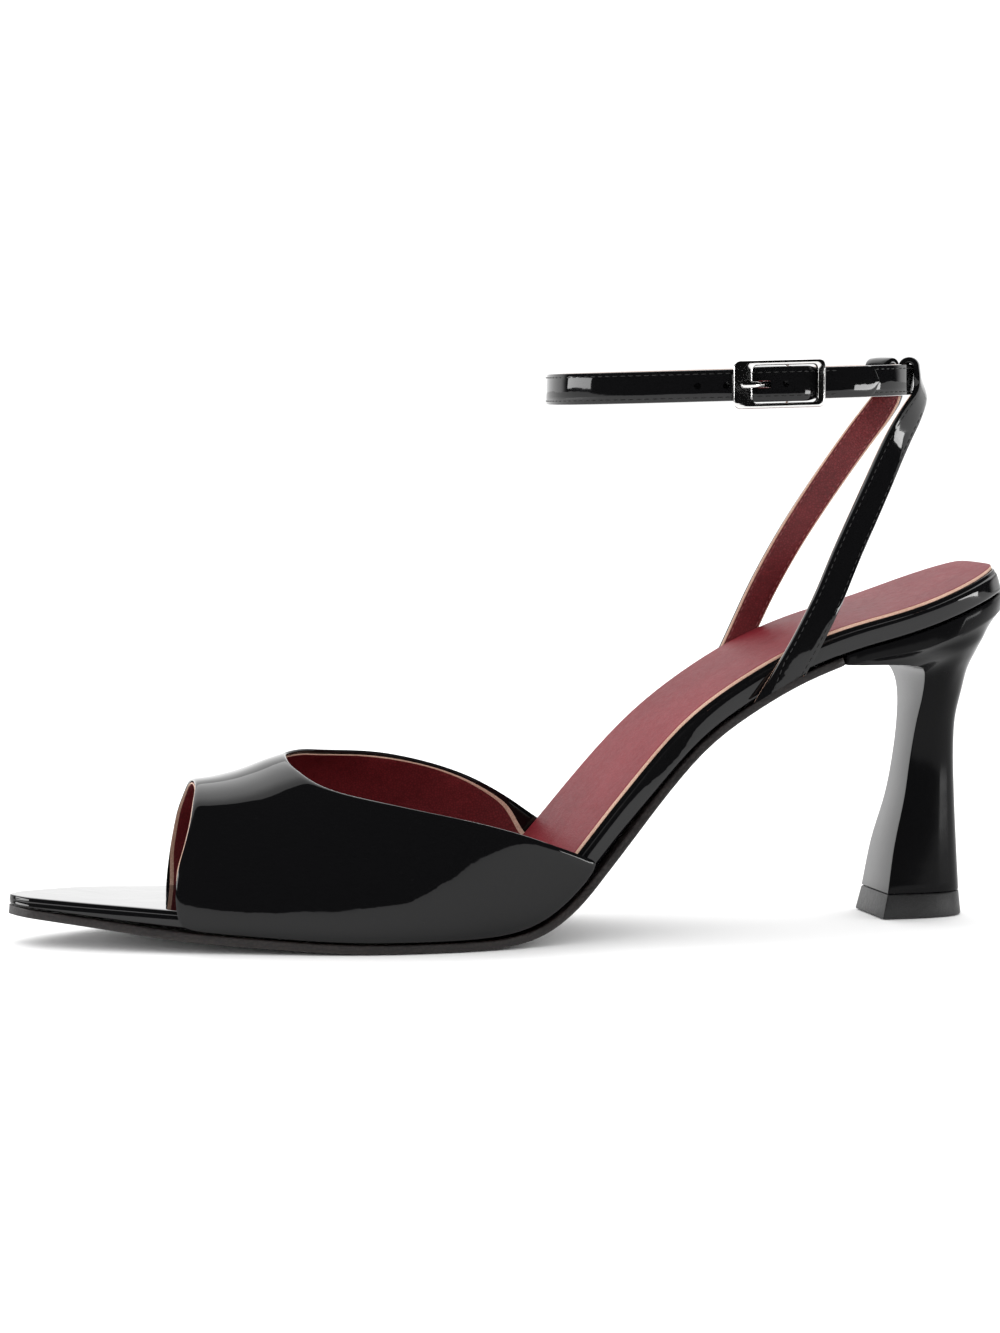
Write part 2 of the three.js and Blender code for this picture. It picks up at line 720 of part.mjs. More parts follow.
function makeLeg(side) {
  const sideOf = (along) => (side > 0 ? outline(along).lateral : -outline(along).medial);
  const away = clearance + legThickness / 2;
  const foot = bedFrame(legStation);
  const reach = strapThickness / 2 + away;
  const angle = degrees(legAttachAngle);
  const ringAt = (height, out) => {
    const { point } = ringPlace(side * angle, height, out);
    return new THREE.Vector3(Math.abs(point.x), point.y, point.z);
  };
  const top = ringAt(-strapWidth / 2 + 0.4, reach + 0.8);
  const bow = side > 0 ? 0 : medialBow;
  const rises = steps(0, 1, 10);
  const climb = rises.map((rise) => {
    const y = mix(foot.y, top.y, legBack(rise)) - bow * Math.sin(Math.PI * rise);
    const sideX = sideOf(alongAt(y)) + away + legEase;
    return new THREE.Vector3(mix(sideX, top.x, legLean(rise)), y, mix(foot.z + clearance, top.z, rise));
  });
  const bend = strapWidth / 2 - 0.2;
  const inner = reach + 0.4;
  const hook = steps(0, 180, 8).map((turn) => {
    const cosine = Math.cos(degrees(turn));
    return ringAt(bend + reach * Math.sin(degrees(turn)), cosine * (cosine > 0 ? reach : inner));
  });
  const tuck = [ringAt(0, -inner), ringAt(-strapWidth / 2, -inner)];
  const path = [...climb, ringAt(0.2, reach + 0.3), ...hook, ...tuck];
  const foldAcross = ringPlace(angle).forward;
  const reachAlong = 0.02;
  const widening = sideOf(legStation + reachAlong) - sideOf(legStation - reachAlong);
  const flare = widening / (2 * reachAlong * shoeLength);
  const soleRun = new THREE.Vector3(flare * foot.upZ, foot.upZ, -foot.upY).normalize();
  const soleOut = new THREE.Vector3(1, -flare, 0).normalize();
  const stations = path.map((point, i) => {
    const run = path[Math.min(i + 1, path.length - 1)].clone().sub(path[Math.max(i - 1, 0)]).normalize();
    const level = new THREE.Vector3().crossVectors(run, soleOut).normalize();
    const turned = i < rises.length ? legTurn(rises[i]) : 1;
    const hint = level.lerp(foldAcross, turned);
    const across = hint.addScaledVector(run, -hint.dot(run)).normalize();
    const out = new THREE.Vector3().crossVectors(across, run);
    if (i > 0) {
      return { point, across, out, width: legWidth, thickness: legThickness };
    }
    const slant = Math.abs(soleRun.dot(across));
    return { point, across: soleRun, out, width: legWidth / slant, thickness: legThickness };
  });
  const mirror = (vector) => new THREE.Vector3(vector.x * side, vector.y, vector.z);
  return toManifold(ribbon(stations.map((stop) => {
    return { ...stop, point: mirror(stop.point), across: mirror(stop.across), out: mirror(stop.out) };
  })));
}

// The legs are joined by a plate inside the ankle strap
function makeBackStraps() {
  const reach = strapThickness / 2 + clearance + legThickness / 2;
  const half = legAttachAngle + 4;
  const plate = toManifold(ribbon(steps(-half, half, 8).map((angle) => {
    const place = ringPlace(degrees(angle), 0, -reach);
    const out = place.out.negate();
    return { point: place.point, across: up, out, width: strapWidth, thickness: legThickness };
  })));
  return fromManifold(makeLeg(1).add(makeLeg(-1)).add(plate));
}

// Materials
const patentBlack = { color: 0x0b0b0c, roughness: 0.08, metalness: 0 };
const soleBlack = { color: 0x1a1716, roughness: 0.5, metalness: 0 };
const tipBlack = { color: 0x232324, roughness: 0.55, metalness: 0 };
const burgundy = { color: 0x8a3f47, roughness: 0.5, metalness: 0 };
const silver = { color: 0xd8d8d8, roughness: 0.12, metalness: 1 };

const shoe = new THREE.Group();
function addPiece(name, geometry, finish) {
  geometry.computeVertexNormals();
  const mesh = new THREE.Mesh(geometry, new THREE.MeshStandardMaterial(finish));
  mesh.name = name;
  shoe.add(mesh);
}

addPiece('outsole', makeOutsole(), soleBlack);
addPiece('platform', makePlatform(), patentBlack);
addPiece('sock', makeSock(), burgundy);
addPiece('upper_vamp', makeVamp(), patentBlack);
addPiece('heel', makeHeel(), patentBlack);
addPiece('heel_tip', makeHeelTip(), tipBlack);
addPiece('back_straps', makeBackStraps(), patentBlack);
addPiece('ankle_strap', makeAnkleStrap(), patentBlack);
addPiece('buckle_frame', makeBuckleFrame(), silver);
addPiece('buckle_prong', makeBuckleProng(), silver);

export default shoe;
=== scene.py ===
import math
import bpy
from mathutils import Matrix, Vector


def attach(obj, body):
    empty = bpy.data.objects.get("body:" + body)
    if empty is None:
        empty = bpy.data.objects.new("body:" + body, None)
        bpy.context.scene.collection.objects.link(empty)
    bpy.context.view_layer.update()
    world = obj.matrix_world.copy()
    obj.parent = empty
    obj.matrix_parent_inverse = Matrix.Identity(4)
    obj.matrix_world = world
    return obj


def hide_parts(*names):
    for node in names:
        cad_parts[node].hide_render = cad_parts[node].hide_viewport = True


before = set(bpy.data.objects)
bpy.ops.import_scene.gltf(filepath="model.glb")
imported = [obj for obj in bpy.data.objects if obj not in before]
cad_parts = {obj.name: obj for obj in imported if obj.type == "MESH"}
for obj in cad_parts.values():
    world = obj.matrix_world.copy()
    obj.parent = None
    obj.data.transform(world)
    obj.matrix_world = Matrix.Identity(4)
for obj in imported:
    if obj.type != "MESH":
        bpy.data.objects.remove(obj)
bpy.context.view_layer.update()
print("frame loaded")

# lengths are in millimetres until a piece is laid out in metres
mm = 0.001
shoe = {"length": 250.0, "seat": 23.5, "rise": 81.2, "spring": 7.0, "ball": 75.0, "heelWidth": 50.0,
        "sole": 2.2, "board": 5.9, "gap": 0.3, "tipLength": 4.5, "seatLength": 30.0,
        "seatRound": 2.3, "ledge": 1.8}


# camera
view = {"place": (0.8709, -0.3235, 0.1312), "aim": (0.0, -0.1064, 0.0643), "lens": 99.28, "sensor": 36.0,
        "far": 50.0}
bpy.ops.object.select_all(action="DESELECT")
bpy.ops.object.camera_add(location=view["place"])
camera = bpy.context.object
camera.name = "camera"
camera.data.lens = view["lens"]
camera.data.sensor_width = view["sensor"]
camera.data.clip_end = view["far"]
camera.rotation_euler = (Vector(view["aim"]) - Vector(view["place"])).to_track_quat("-Z", "Y").to_euler()
bpy.context.scene.camera = camera
bpy.context.scene.view_settings.view_transform = "Standard"
print("camera placed")


# shader maths
class Wire:
    def __init__(self, tree, socket=None):
        self.tree, self.socket = tree, socket

    def node(self, kind, settings, sockets, output=0):
        made = self.tree.nodes.new("ShaderNode" + kind)
        for name, value in settings.items():
            if name == "stops":
                stops = made.color_ramp.elements
                while len(stops) > 1:
                    stops.remove(stops[-1])
                stops[0].position, stops[0].color = value[0]
                for place, colour in value[1:]:
                    stops.new(place).color = colour
            else:
                setattr(made, name, value)
        for name, value in sockets.items():
            if isinstance(value, Wire):
                self.tree.links.new(value.socket, made.inputs[name])
            else:
                made.inputs[name].default_value = value
        return Wire(self.tree, made.outputs[output] if len(made.outputs) else None)

    def maths(self, operation, *values):
        return self.node("Math", {"operation": operation}, dict(enumerate(values)))

    def __add__(self, other):
        return self.maths("ADD", self, other)

    def __radd__(self, other):
        return self.maths("ADD", other, self)

    def __sub__(self, other):
        return self.maths("SUBTRACT", self, other)

    def __rsub__(self, other):
        return self.maths("SUBTRACT", other, self)

    def __mul__(self, other):
        return self.maths("MULTIPLY", self, other)

    def __rmul__(self, other):
        return self.maths("MULTIPLY", other, self)

    def smooth(self, low, high):
        return self.node("MapRange", {"interpolation_type": "SMOOTHSTEP"},
                         {"Value": self, "From Min": low, "From Max": high})

    def blend(self, first, second):
        return self.node("Mix", {"data_type": "RGBA"}, {0: self, 6: first, 7: second}, 2)


def noise(wire, place, scale, detail=2.0):
    return wire.node("TexNoise", {}, {"Vector": place, "Scale": scale, "Detail": detail})


def startFinish(name):
    finish = bpy.data.materials.new(name)
    finish.use_nodes = True
    finish.node_tree.nodes.clear()
    wire = Wire(finish.node_tree)
    return finish, wire, wire.node("TexCoord", {}, {}, 3)


def endFinish(wire, sockets, bumps=()):
    normal = None
    for height, distance, strength in bumps:  # each bump stands on the one before
        inputs = {"Height": height, "Distance": distance, "Strength": strength}
        if normal:
            inputs["Normal"] = normal
        normal = wire.node("Bump", {}, inputs)
    if normal:
        sockets = dict(sockets, Normal=normal)
    shader = wire.node("BsdfPrincipled", {}, sockets)
    wire.node("OutputMaterial", {}, {"Surface": shader})


def patentFinish(name, ripple=0.05, gloss=0.03, specular=0.27, tint=(0.0035, 0.0035, 0.0038, 1)):
    finish, wire, place = startFinish(name)
    wide = noise(wire, place, 42.0, 1.5)
    fine = noise(wire, place, 260.0, 2.0)
    dust = noise(wire, place, 2200.0, 2.0).smooth(0.68, 0.8)
    colour = dust.blend(tint, (0.009, 0.009, 0.0095, 1))
    rough = gloss + 0.03 * noise(wire, place, 30.0).smooth(0.4, 0.8) + 0.05 * dust
    endFinish(wire, {"Base Color": colour, "Roughness": rough, "IOR": 1.5, "Specular IOR Level": specular},
              [(wide, 0.0009 * ripple / 0.05, 0.45), (fine, 0.00008, 0.2)])
    return finish


def leatherFinish(name, dark, light, rough, grain, depth):
    finish, wire, place = startFinish(name)
    cloud = noise(wire, place, 55.0, 3.0)
    pores = wire.node("TexVoronoi", {"feature": "DISTANCE_TO_EDGE"}, {"Vector": place, "Scale": grain})
    crease = noise(wire, place, grain * 0.35, 3.0)
    tone = (0.7 * cloud + 0.3 * pores.smooth(0.0, 0.25)).smooth(0.25, 0.8)
    endFinish(wire, {"Base Color": tone.blend(dark, light), "Roughness": rough + 0.12 * crease,
                     "IOR": 1.45},
              [(crease, 0.0004, 0.25), (pores.smooth(0.0, 0.3), depth, 0.4)])
    return finish


patent = patentFinish("patentBlack")
patentBoard = patentFinish("patentBoardWrap", 0.012, 0.03, 0.4)
# the heel's patent comes in two copies: the sides with weak specular, painted shade, and the breast with a
# lighter tint and stronger specular, a painted highlight
patentHeel = patentFinish("patentHeelCover", 0.02, 0.12, 0.08)
patentBreastPaintedLight = patentFinish("patentHeelBreastPaintedLight", 0.02, 0.28, 0.6, (0.02, 0.02, 0.0205, 1))
patentStrap = patentFinish("patentStrap", 0.06, 0.03, 0.4)
lining = leatherFinish("liningBurgundy", (0.085, 0.007, 0.009, 1), (0.17, 0.018, 0.022, 1),
                       0.38, 1500.0, 0.00008)
rawEdge = leatherFinish("rawEdgeTan", (0.42, 0.25, 0.18, 1), (0.64, 0.43, 0.33, 1),
                        0.6, 2400.0, 0.00005)
soleEdge = leatherFinish("soleEdgeBlack", (0.006, 0.0045, 0.0045, 1), (0.016, 0.011, 0.01, 1),
                         0.32, 900.0, 0.00006)
soleUnder = leatherFinish("soleUnderside", (0.012, 0.0105, 0.01, 1), (0.022, 0.019, 0.018, 1),
                          0.45, 700.0, 0.0001)
rubber = leatherFinish("tipRubber", (0.012, 0.012, 0.012, 1), (0.02, 0.02, 0.021, 1),
                       0.38, 1800.0, 0.00003)
threadBlack = leatherFinish("threadBlack", (0.006, 0.006, 0.006, 1), (0.02, 0.02, 0.02, 1),
                            0.5, 5000.0, 0.00002)
threadRed = leatherFinish("threadRed", (0.16, 0.03, 0.035, 1), (0.3, 0.08, 0.08, 1),
                          0.55, 5000.0, 0.00002)


def sockFinish(name):
    finish, wire, place = startFinish(name)
    cloud = noise(wire, place, 38.0, 3.0)
    pores = wire.node("TexVoronoi", {"feature": "DISTANCE_TO_EDGE"}, {"Vector": place, "Scale": 1300.0})
    tone = (0.75 * cloud + 0.25 * pores.smooth(0.0, 0.25)).smooth(0.25, 0.8)
    colour = tone.blend((0.14, 0.012, 0.018, 1), (0.205, 0.023, 0.031, 1))
    rough = 0.36 + 0.14 * noise(wire, place, 500.0, 2.0)
    endFinish(wire, {"Base Color": colour, "Roughness": rough, "IOR": 1.45, "Specular IOR Level": 0.07},
              [(cloud, 0.0006, 0.15), (pores.smooth(0.0, 0.3), 0.00007, 0.35)])
    return finish


sockLeather = sockFinish("sockBurgundy")


def metalFinish(name):
    finish, wire, place = startFinish(name)
    smear = noise(wire, place, 160.0, 3.0)
    scratch = wire.node("TexWave", {"bands_direction": "Z"},
                        {"Vector": place, "Scale": 900.0, "Distortion": 6.0, "Detail": 2.0}, 1)
    rough = 0.07 + 0.1 * smear.smooth(0.4, 0.8)
    colour = smear.blend((0.62, 0.61, 0.6, 1), (0.75, 0.745, 0.74, 1))
    endFinish(wire, {"Base Color": colour, "Metallic": 1.0, "Roughness": rough}, [(scratch, 0.00001, 0.15)])
    return finish


steel = metalFinish("buckleMetal")
print("finishes made")


# curves and sections shared by the pieces
def through(rows, column):
    at = [row[0] for row in rows]
    value = [row[column] for row in rows]
    rate = [(value[i + 1] - value[i]) / (at[i + 1] - at[i]) for i in range(len(rows) - 1)]
    slope = [rate[0]]
    for before, after in zip(rate, rate[1:]):
        slope.append(2 * before * after / (before + after) if before * after > 0 else 0.0)
    slope.append(rate[-1])

    def curve(place):
        x = min(max(place, at[0]), at[-1])
        i = 0
        while i < len(rate) - 1 and x > at[i + 1]:
            i += 1
        width = at[i + 1] - at[i]
        s = (x - at[i]) / width
        rise = value[i + 1] - value[i]
        bend, unbend = slope[i] * width - rise, rise - slope[i + 1] * width
        return value[i] + s * rise + s * (1 - s) * ((1 - s) * bend + s * unbend)
    return curve


def mix(first, second, share):
    return first + (second - first) * share


def ease(start, end, value):
    s = min(max((value - start) / (end - start), 0.0), 1.0)
    return s * s * (3 - 2 * s)


def steps(start, end, count):
    return [mix(start, end, i / count) for i in range(count + 1)]


# along the sole from the toe tip at 0 to the seat's back at 1, spring and arch as shares
bedRows = [(0, 1, 0), (0.08, 0.7, 0), (0.15, 0.38, 0), (0.22, 0.19, 0), (0.28, 0.05, 0), (0.32, 0, 0),
           (0.43, 0, 0), (0.46, 0, 0.009), (0.483, 0, 0.026), (0.507, 0, 0.066), (0.53, 0, 0.124),
           (0.555, 0, 0.212), (0.6, 0, 0.374), (0.66, 0, 0.56), (0.71, 0, 0.665), (0.76, 0, 0.747),
           (0.81, 0, 0.805), (0.88, 0, 0.863), (1, 0, 1)]
# outer and inner half widths of the plan, as shares
planRows = [(0, 0.01, -0.125), (0.058, 0.147, -0.26), (0.106, 0.24, -0.347), (0.146, 0.307, -0.4),
            (0.186, 0.36, -0.44), (0.226, 0.407, -0.467), (0.266, 0.453, -0.48), (0.306, 0.487, -0.484),
            (0.346, 0.507, -0.473), (0.386, 0.511, -0.447), (0.426, 0.5, -0.407), (0.466, 0.477, -0.367),
            (0.506, 0.447, -0.333), (0.556, 0.408, -0.285), (0.6, 0.412, -0.279), (0.64, 0.44, -0.31),
            (0.7, 0.495, -0.378), (0.78, 0.488, -0.43), (0.88, 0.504, -0.492), (1, 0.504, -0.496)]
boardRows = [(0, 0.36), (0.04, 0.46), (0.08, 0.56), (0.122, 0.68), (0.16, 0.76), (0.3, 0.86), (0.5, 0.94),
             (0.66, 1), (1, 1)]
springAt, archAt = through(bedRows, 1), through(bedRows, 2)
outerShare, innerShare, boardShare = through(planRows, 1), through(planRows, 2), through(boardRows, 1)


def yAt(along):
    return shoe["seat"] - shoe["length"] * (1 - along)


def alongAt(y):
    return 1 - (shoe["seat"] - y) / shoe["length"]


def bedAt(along):
    return shoe["sole"] + shoe["spring"] * springAt(along) + shoe["rise"] * archAt(along)


def bedFrame(along, reach=0.006):
    behind, ahead = max(along - reach, 0.0), min(along + reach, 1.0)
    slope = (bedAt(ahead) - bedAt(behind)) / (shoe["length"] * (ahead - behind))
    return yAt(along), bedAt(along), -slope / math.hypot(1, slope), 1 / math.hypot(1, slope)


def outline(along, inset=0.0):
    width = mix(shoe["ball"], shoe["heelWidth"], ease(0.556, 0.7, along))
    outer, inner = width * outerShare(along), width * innerShare(along)
    tip = min(max((along * shoe["length"] - inset) / shoe["tipLength"], 0.0), 1.0)
    seat = 1 - min(max(((1 - along) * shoe["length"] - inset) / (shoe["seatLength"] - inset), 0.0), 1.0)
    taper = math.sqrt(1 - (1 - tip) ** 2) * (1 - seat ** shoe["seatRound"]) ** (1 / shoe["seatRound"])
    half = ((outer - inner) / 2 - inset) * taper
    return (outer + inner) / 2 + half, (outer + inner) / 2 - half


def solePoint(along, x, offset):
    y, z, upY, upZ = bedFrame(along)
    return Vector((x, y + upY * offset, z + upZ * offset))


def boardInset(along):
    return shoe["ledge"] * ease(0.07, 0.14, along) * (1 - ease(0.57, 0.615, along))


def boardTop(along):
    return shoe["gap"] + shoe["board"] * boardShare(along)


def soleStations(end=1.0):
    tip, seat = shoe["tipLength"] / shoe["length"], shoe["seatLength"] / shoe["length"]
    places = [tip * (1 - math.cos(math.radians(a))) for a in steps(14, 90, 6)]
    places += steps(0.04, 0.44, 16) + steps(0.455, 0.56, 8) + steps(0.58, 1 - seat - 0.01, 12)
    places += [1 - seat * (1 - math.sin(math.radians(a))) for a in steps(6, 84, 11)]
    return [p for p in places if p < end - 0.01] + ([end] if end < 1 else [])


def roundedSection(outer, inner, low, high, lowSoft, highSoft, crown=0.0, across=6):
    middle, half = (outer + inner) / 2, (outer - inner) / 2
    lowSoft, highSoft = min(lowSoft, half / 2), min(highSoft, half / 2)
    side = [(half - lowSoft, low)]
    side += [(half - lowSoft * (1 - math.sin(a)), low + lowSoft * (1 - math.cos(a)))
             for a in steps(0.5, math.pi / 2, 3)]
    edge = high - crown - highSoft
    side += [(half - highSoft * (1 - math.cos(a)), edge + highSoft * math.sin(a))
             for a in steps(0, math.pi / 2, 4)]
    flat = half - highSoft
    side += [(flat * s, high - crown * s * s) for s in steps(1, 0, across)[1:]]
    other = [(-x, z) for x, z in side[:-1]][::-1]
    return [(middle + x, z) for x, z in side + other]


# modelling helpers
def editMode(piece):
    bpy.ops.object.select_all(action="DESELECT")
    piece.select_set(True)
    bpy.context.view_layer.objects.active = piece
    bpy.ops.object.mode_set(mode="EDIT")


def applyModifiers(piece):
    bpy.ops.object.select_all(action="DESELECT")
    piece.select_set(True)
    bpy.context.view_layer.objects.active = piece
    for modifier in list(piece.modifiers):
        bpy.ops.object.modifier_apply(modifier=modifier.name)


def smoothPiece(piece, angle=50.0):
    bpy.ops.object.select_all(action="DESELECT")
    piece.select_set(True)
    bpy.context.view_layer.objects.active = piece
    bpy.ops.object.shade_smooth_by_angle(angle=math.radians(angle))


def layGrid(name, rings, finishes, closed=True, endless=False, inks=None):
    # a grid primitive laid over rings of points, which it joins round and along
    count, rows = len(rings[0]), len(rings)
    around = count if closed else count - 1
    length = rows if endless else rows - 1
    bpy.ops.object.select_all(action="DESELECT")
    bpy.ops.mesh.primitive_grid_add(x_subdivisions=around, y_subdivisions=length, size=2)
    piece = bpy.context.object
    piece.name = name
    for finish in finishes:
        piece.data.materials.append(finish)
    if inks:
        for face in piece.data.polygons:
            centre = (face.center.x + 1) / 2 * around
            face.material_index = inks[min(int(centre), len(inks) - 1)]
    for vertex in piece.data.vertices:
        i = round((vertex.co.x + 1) / 2 * around) % count
        j = round((vertex.co.y + 1) / 2 * length) % rows
        vertex.co = rings[j][i] * mm
    editMode(piece)
    bpy.ops.mesh.select_all(action="SELECT")
    if closed or endless:
        bpy.ops.mesh.remove_doubles(threshold=1e-7)
    if closed and not endless:
        bpy.ops.mesh.fill_holes(sides=0)
    bpy.ops.mesh.select_all(action="SELECT")
    bpy.ops.mesh.normals_make_consistent(inside=False)
    bpy.ops.object.mode_set(mode="OBJECT")
    return piece


def subdivide(piece, levels):
    modifier = piece.modifiers.new("smooth", "SUBSURF")
    modifier.levels = modifier.render_levels = levels
    applyModifiers(piece)


def softenEdges(piece, width, segments=3, angle=35.0):
    modifier = piece.modifiers.new("soft", "BEVEL")
    modifier.width, modifier.segments = width * mm, segments
    modifier.limit_method, modifier.angle_limit = "ANGLE", math.radians(angle)
    applyModifiers(piece)


def fairRings(rings, count):
    # more rings between the given ones, on a smooth curve through them
    out = []
    for i in range(len(rings) - 1):
        before, here = rings[max(i - 1, 0)], rings[i]
        after, beyond = rings[i + 1], rings[min(i + 2, len(rings) - 1)]
        for s in steps(0, 1, count)[:-1]:
            ring = []
            for p0, p1, p2, p3 in zip(before, here, after, beyond):
                d0, d1, d2 = ((b - a).length ** 0.5 + 1e-6 for a, b in ((p0, p1), (p1, p2), (p2, p3)))
                m1 = (p1 - p0) / d0 - (p2 - p0) / (d0 + d1) + (p2 - p1) / d1
                m2 = (p2 - p1) / d1 - (p3 - p1) / (d1 + d2) + (p3 - p2) / d2
                if i == 0:
                    m1 = (p2 - p1) / d1
                if i == len(rings) - 2:
                    m2 = (p2 - p1) / d1
                a, b = m1 * d1, m2 * d1
                ring.append(p1 * (2 * s ** 3 - 3 * s ** 2 + 1) + a * (s ** 3 - 2 * s ** 2 + s)
                            + p2 * (3 * s ** 2 - 2 * s ** 3) + b * (s ** 3 - s ** 2))
            out.append(ring)
    return out + [rings[-1]]


def settle(piece, node):
    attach(piece, "root")
    if node:
        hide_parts(node)


def soleRings(places, inset, low, high, lowSoft, highSoft, crown=0.0, across=6):
    rings = []
    for along in places:
        outer, inner = outline(along, inset(along))
        section = roundedSection(outer, inner, low(along), high(along), lowSoft, highSoft, crown, across)
        rings.append([solePoint(along, x, z) for x, z in section])
    return rings


# outsole, platform and sock
outsole = {"end": 0.802, "inset": 0.35, "soft": 0.45}
solePlaces = soleStations(outsole["end"])
solePlaces = solePlaces[:-1] + [outsole["end"] - 0.0006, outsole["end"] + 0.0012]
rings = soleRings(solePlaces, lambda a: outsole["inset"], lambda a: -shoe["sole"], lambda a: 0.0,
                  outsole["soft"], 0.3)
sole = layGrid("outsoleLeather", rings, [soleEdge])
subdivide(sole, 1)
sole.data.materials.append(soleUnder)
for face in sole.data.polygons:
    face.material_index = 1 if face.normal.z < -0.6 else 0  # the side that is walked on
smoothPiece(sole)
settle(sole, "outsole")

board = {"lowSoft": 0.3, "lean": 0.07, "seatLean": 0.12, "leanFrom": 1.6, "across": 6}
# inset from the side and depth below the top, up the edge: ledge, crease, top layer
ledgeRows = [(0.0, 1.95), (0.12, 1.45), (0.42, 1.12), (0.85, 0.93), (0.95, 0.74), (0.98, 0.42), (1.1, 0.13),
             (1.4, 0.0)]


def boardRing(along):
    outer, inner = outline(along, boardInset(along))
    middle, half, high = (outer + inner) / 2, (outer - inner) / 2, boardTop(along)
    lean = board["lean"] + board["seatLean"] * ease(0.78, 0.9, along)
    low = high - shoe["gap"]
    side = []
    for inset, depth in [(board["lowSoft"], low), (0.0, low - board["lowSoft"])] + ledgeRows:
        lost = inset + lean * max(depth - board["leanFrom"], 0.0)
        side.append((half - min(lost, half * 0.7), high - depth))
    flat = side[-1][0]
    side += [(flat * s, high) for s in steps(1, 0, board["across"])[1:]]
    section = side + [(-x, z) for x, z in side[:-1]][::-1]
    return [solePoint(along, middle + x, z) for x, z in section]


platform = layGrid("platformWrap", [boardRing(a) for a in soleStations()], [patentBoard])
subdivide(platform, 2)
smoothPiece(platform)
settle(platform, "platform")

sock = {"start": 0.165, "margin": 1.3, "thick": 1.0, "edge": 0.32, "crown": 0.14}
sockPlaces = [a for a in soleStations() if sock["start"] < a < 1 - sock["margin"] / shoe["length"] - 0.002]
rings = soleRings(sockPlaces, lambda a: boardInset(a) + sock["margin"], lambda a: boardTop(a) + 0.02,
                  lambda a: boardTop(a) + sock["thick"], 0.1, sock["edge"], sock["crown"], 8)
inks = [1] * 7 + [0] * (len(rings[0]) - 15) + [1] * 8
sockPad = layGrid("sockLeather", rings, [sockLeather, rawEdge], inks=inks)
subdivide(sockPad, 1)
smoothPiece(sockPad)
settle(sockPad, "sock")
print("sole, platform and sock made")


# vamp
vamp = {"height": 40.8, "proud": 0.3, "square": 2.25, "wingSquare": 3.4, "flare": 1.0, "wingFlare": 4.2,
        "skin": 1.0, "lining": 0.55, "apart": 0.03, "liningFront": 0.004, "liningBack": 0.012}
instepRows = [(0.13, 0.78), (0.178, 0.826), (0.2, 0.85), (0.218, 0.88), (0.233, 0.915), (0.25, 0.965),
              (0.266, 1.002), (0.306, 1.081), (0.346, 1.152), (0.426, 1.28), (0.506, 1.25), (0.57, 0.93)]
edgeRows = [(0, 0.146, 0.553), (10, 0.142, 0.526), (16, 0.143, 0.505), (22, 0.145, 0.482),
            (26, 0.147, 0.458), (30, 0.15, 0.422), (34, 0.153, 0.388), (39, 0.156, 0.356),
            (51, 0.163, 0.298), (58, 0.166, 0.28), (67, 0.17, 0.27), (78, 0.175, 0.264),
            (95, 0.179, 0.27), (105, 0.18, 0.292), (116, 0.18, 0.318), (125, 0.179, 0.36),
            (133, 0.177, 0.399), (140, 0.175, 0.447), (146, 0.174, 0.477), (154, 0.172, 0.501),
            (162, 0.17, 0.522), (170, 0.168, 0.54), (180, 0.166, 0.56)]
instepShare, openingAt, throatAt = through(instepRows, 1), through(edgeRows, 1), through(edgeRows, 2)


def vampPoint(along, turn, depth=0.0):
    outer, inner = outline(along)
    half = (outer - inner) / 2 + vamp["proud"] - depth
    lift = max(math.sin(math.radians(turn)), 0.0) ** (2 / vamp["square"])
    wing = ease(0.34, 0.48, along) if turn < 90 else 0.0  # the outer wing stands straighter and flares
    square = mix(vamp["square"], vamp["wingSquare"], wing)
    side = math.copysign(max(1 - lift ** square, 0.0) ** (1 / square), 90.0 - turn)
    swell = (vamp["flare"] + vamp["wingFlare"] * wing) * lift * side
    y, z, upY, upZ = bedFrame(along)
    rise = vamp["height"] * instepShare(along) - depth
    return Vector(((outer + inner) / 2 + half * side + swell, y, z + shoe["gap"] / upZ + rise * lift))


def vampRings(depth, front=0.0, back=0.0, lengthwise=12):
    rings = []
    for turn in steps(0, 30, 5) + steps(36, 150, 19) + steps(155, 180, 5):
        low = 1 - ease(6, 24, min(turn, 180 - turn))  # the lining keeps back from the sole
        start = openingAt(turn) - front + (vamp["liningFront"] * low if front else 0.0)
        end = throatAt(turn) + back - (vamp["liningBack"] * low if back else 0.0)
        rings.append([vampPoint(a, turn, depth) for a in steps(start, end, lengthwise)])
    return rings


def outwards(piece):
    # an open skin must face away from the middle of the foot before it gets its wall
    middle = Vector((0, sum(v.co.y for v in piece.data.vertices) / len(piece.data.vertices), 0.005))
    if sum((face.center - middle).dot(face.normal) * face.area for face in piece.data.polygons) < 0:
        piece.data.flip_normals()


def vampShell(name, rings, finishes, thickness, levels):
    piece = layGrid(name, rings, finishes, closed=False)
    outwards(piece)
    modifier = piece.modifiers.new("wall", "SOLIDIFY")
    modifier.thickness = thickness * mm
    modifier.offset = -1
    modifier.material_offset_rim = len(finishes) - 1
    applyModifiers(piece)
    subdivide(piece, levels)
    smoothPiece(piece, 75)
    return piece


vampSkin = vampShell("vampPatent", vampRings(0.0), [patent], vamp["skin"], 2)
settle(vampSkin, "upper_vamp")
rings = vampRings(vamp["skin"] + vamp["apart"], front=0.0004, back=-0.0035)
vampLining = vampShell("vampLining", rings, [lining, rawEdge], vamp["lining"], 2)
settle(vampLining, None)
print("vamp made")


# heel
heel = {"length": 23.4, "width": 21.0, "tip": 6.0, "margin": 1.0, "backInset": 2.0, "drop": 3.2,
        "frontShare": 0.77, "backMore": 0.57, "round": 2 / 3, "edgeEnd": 0.55}
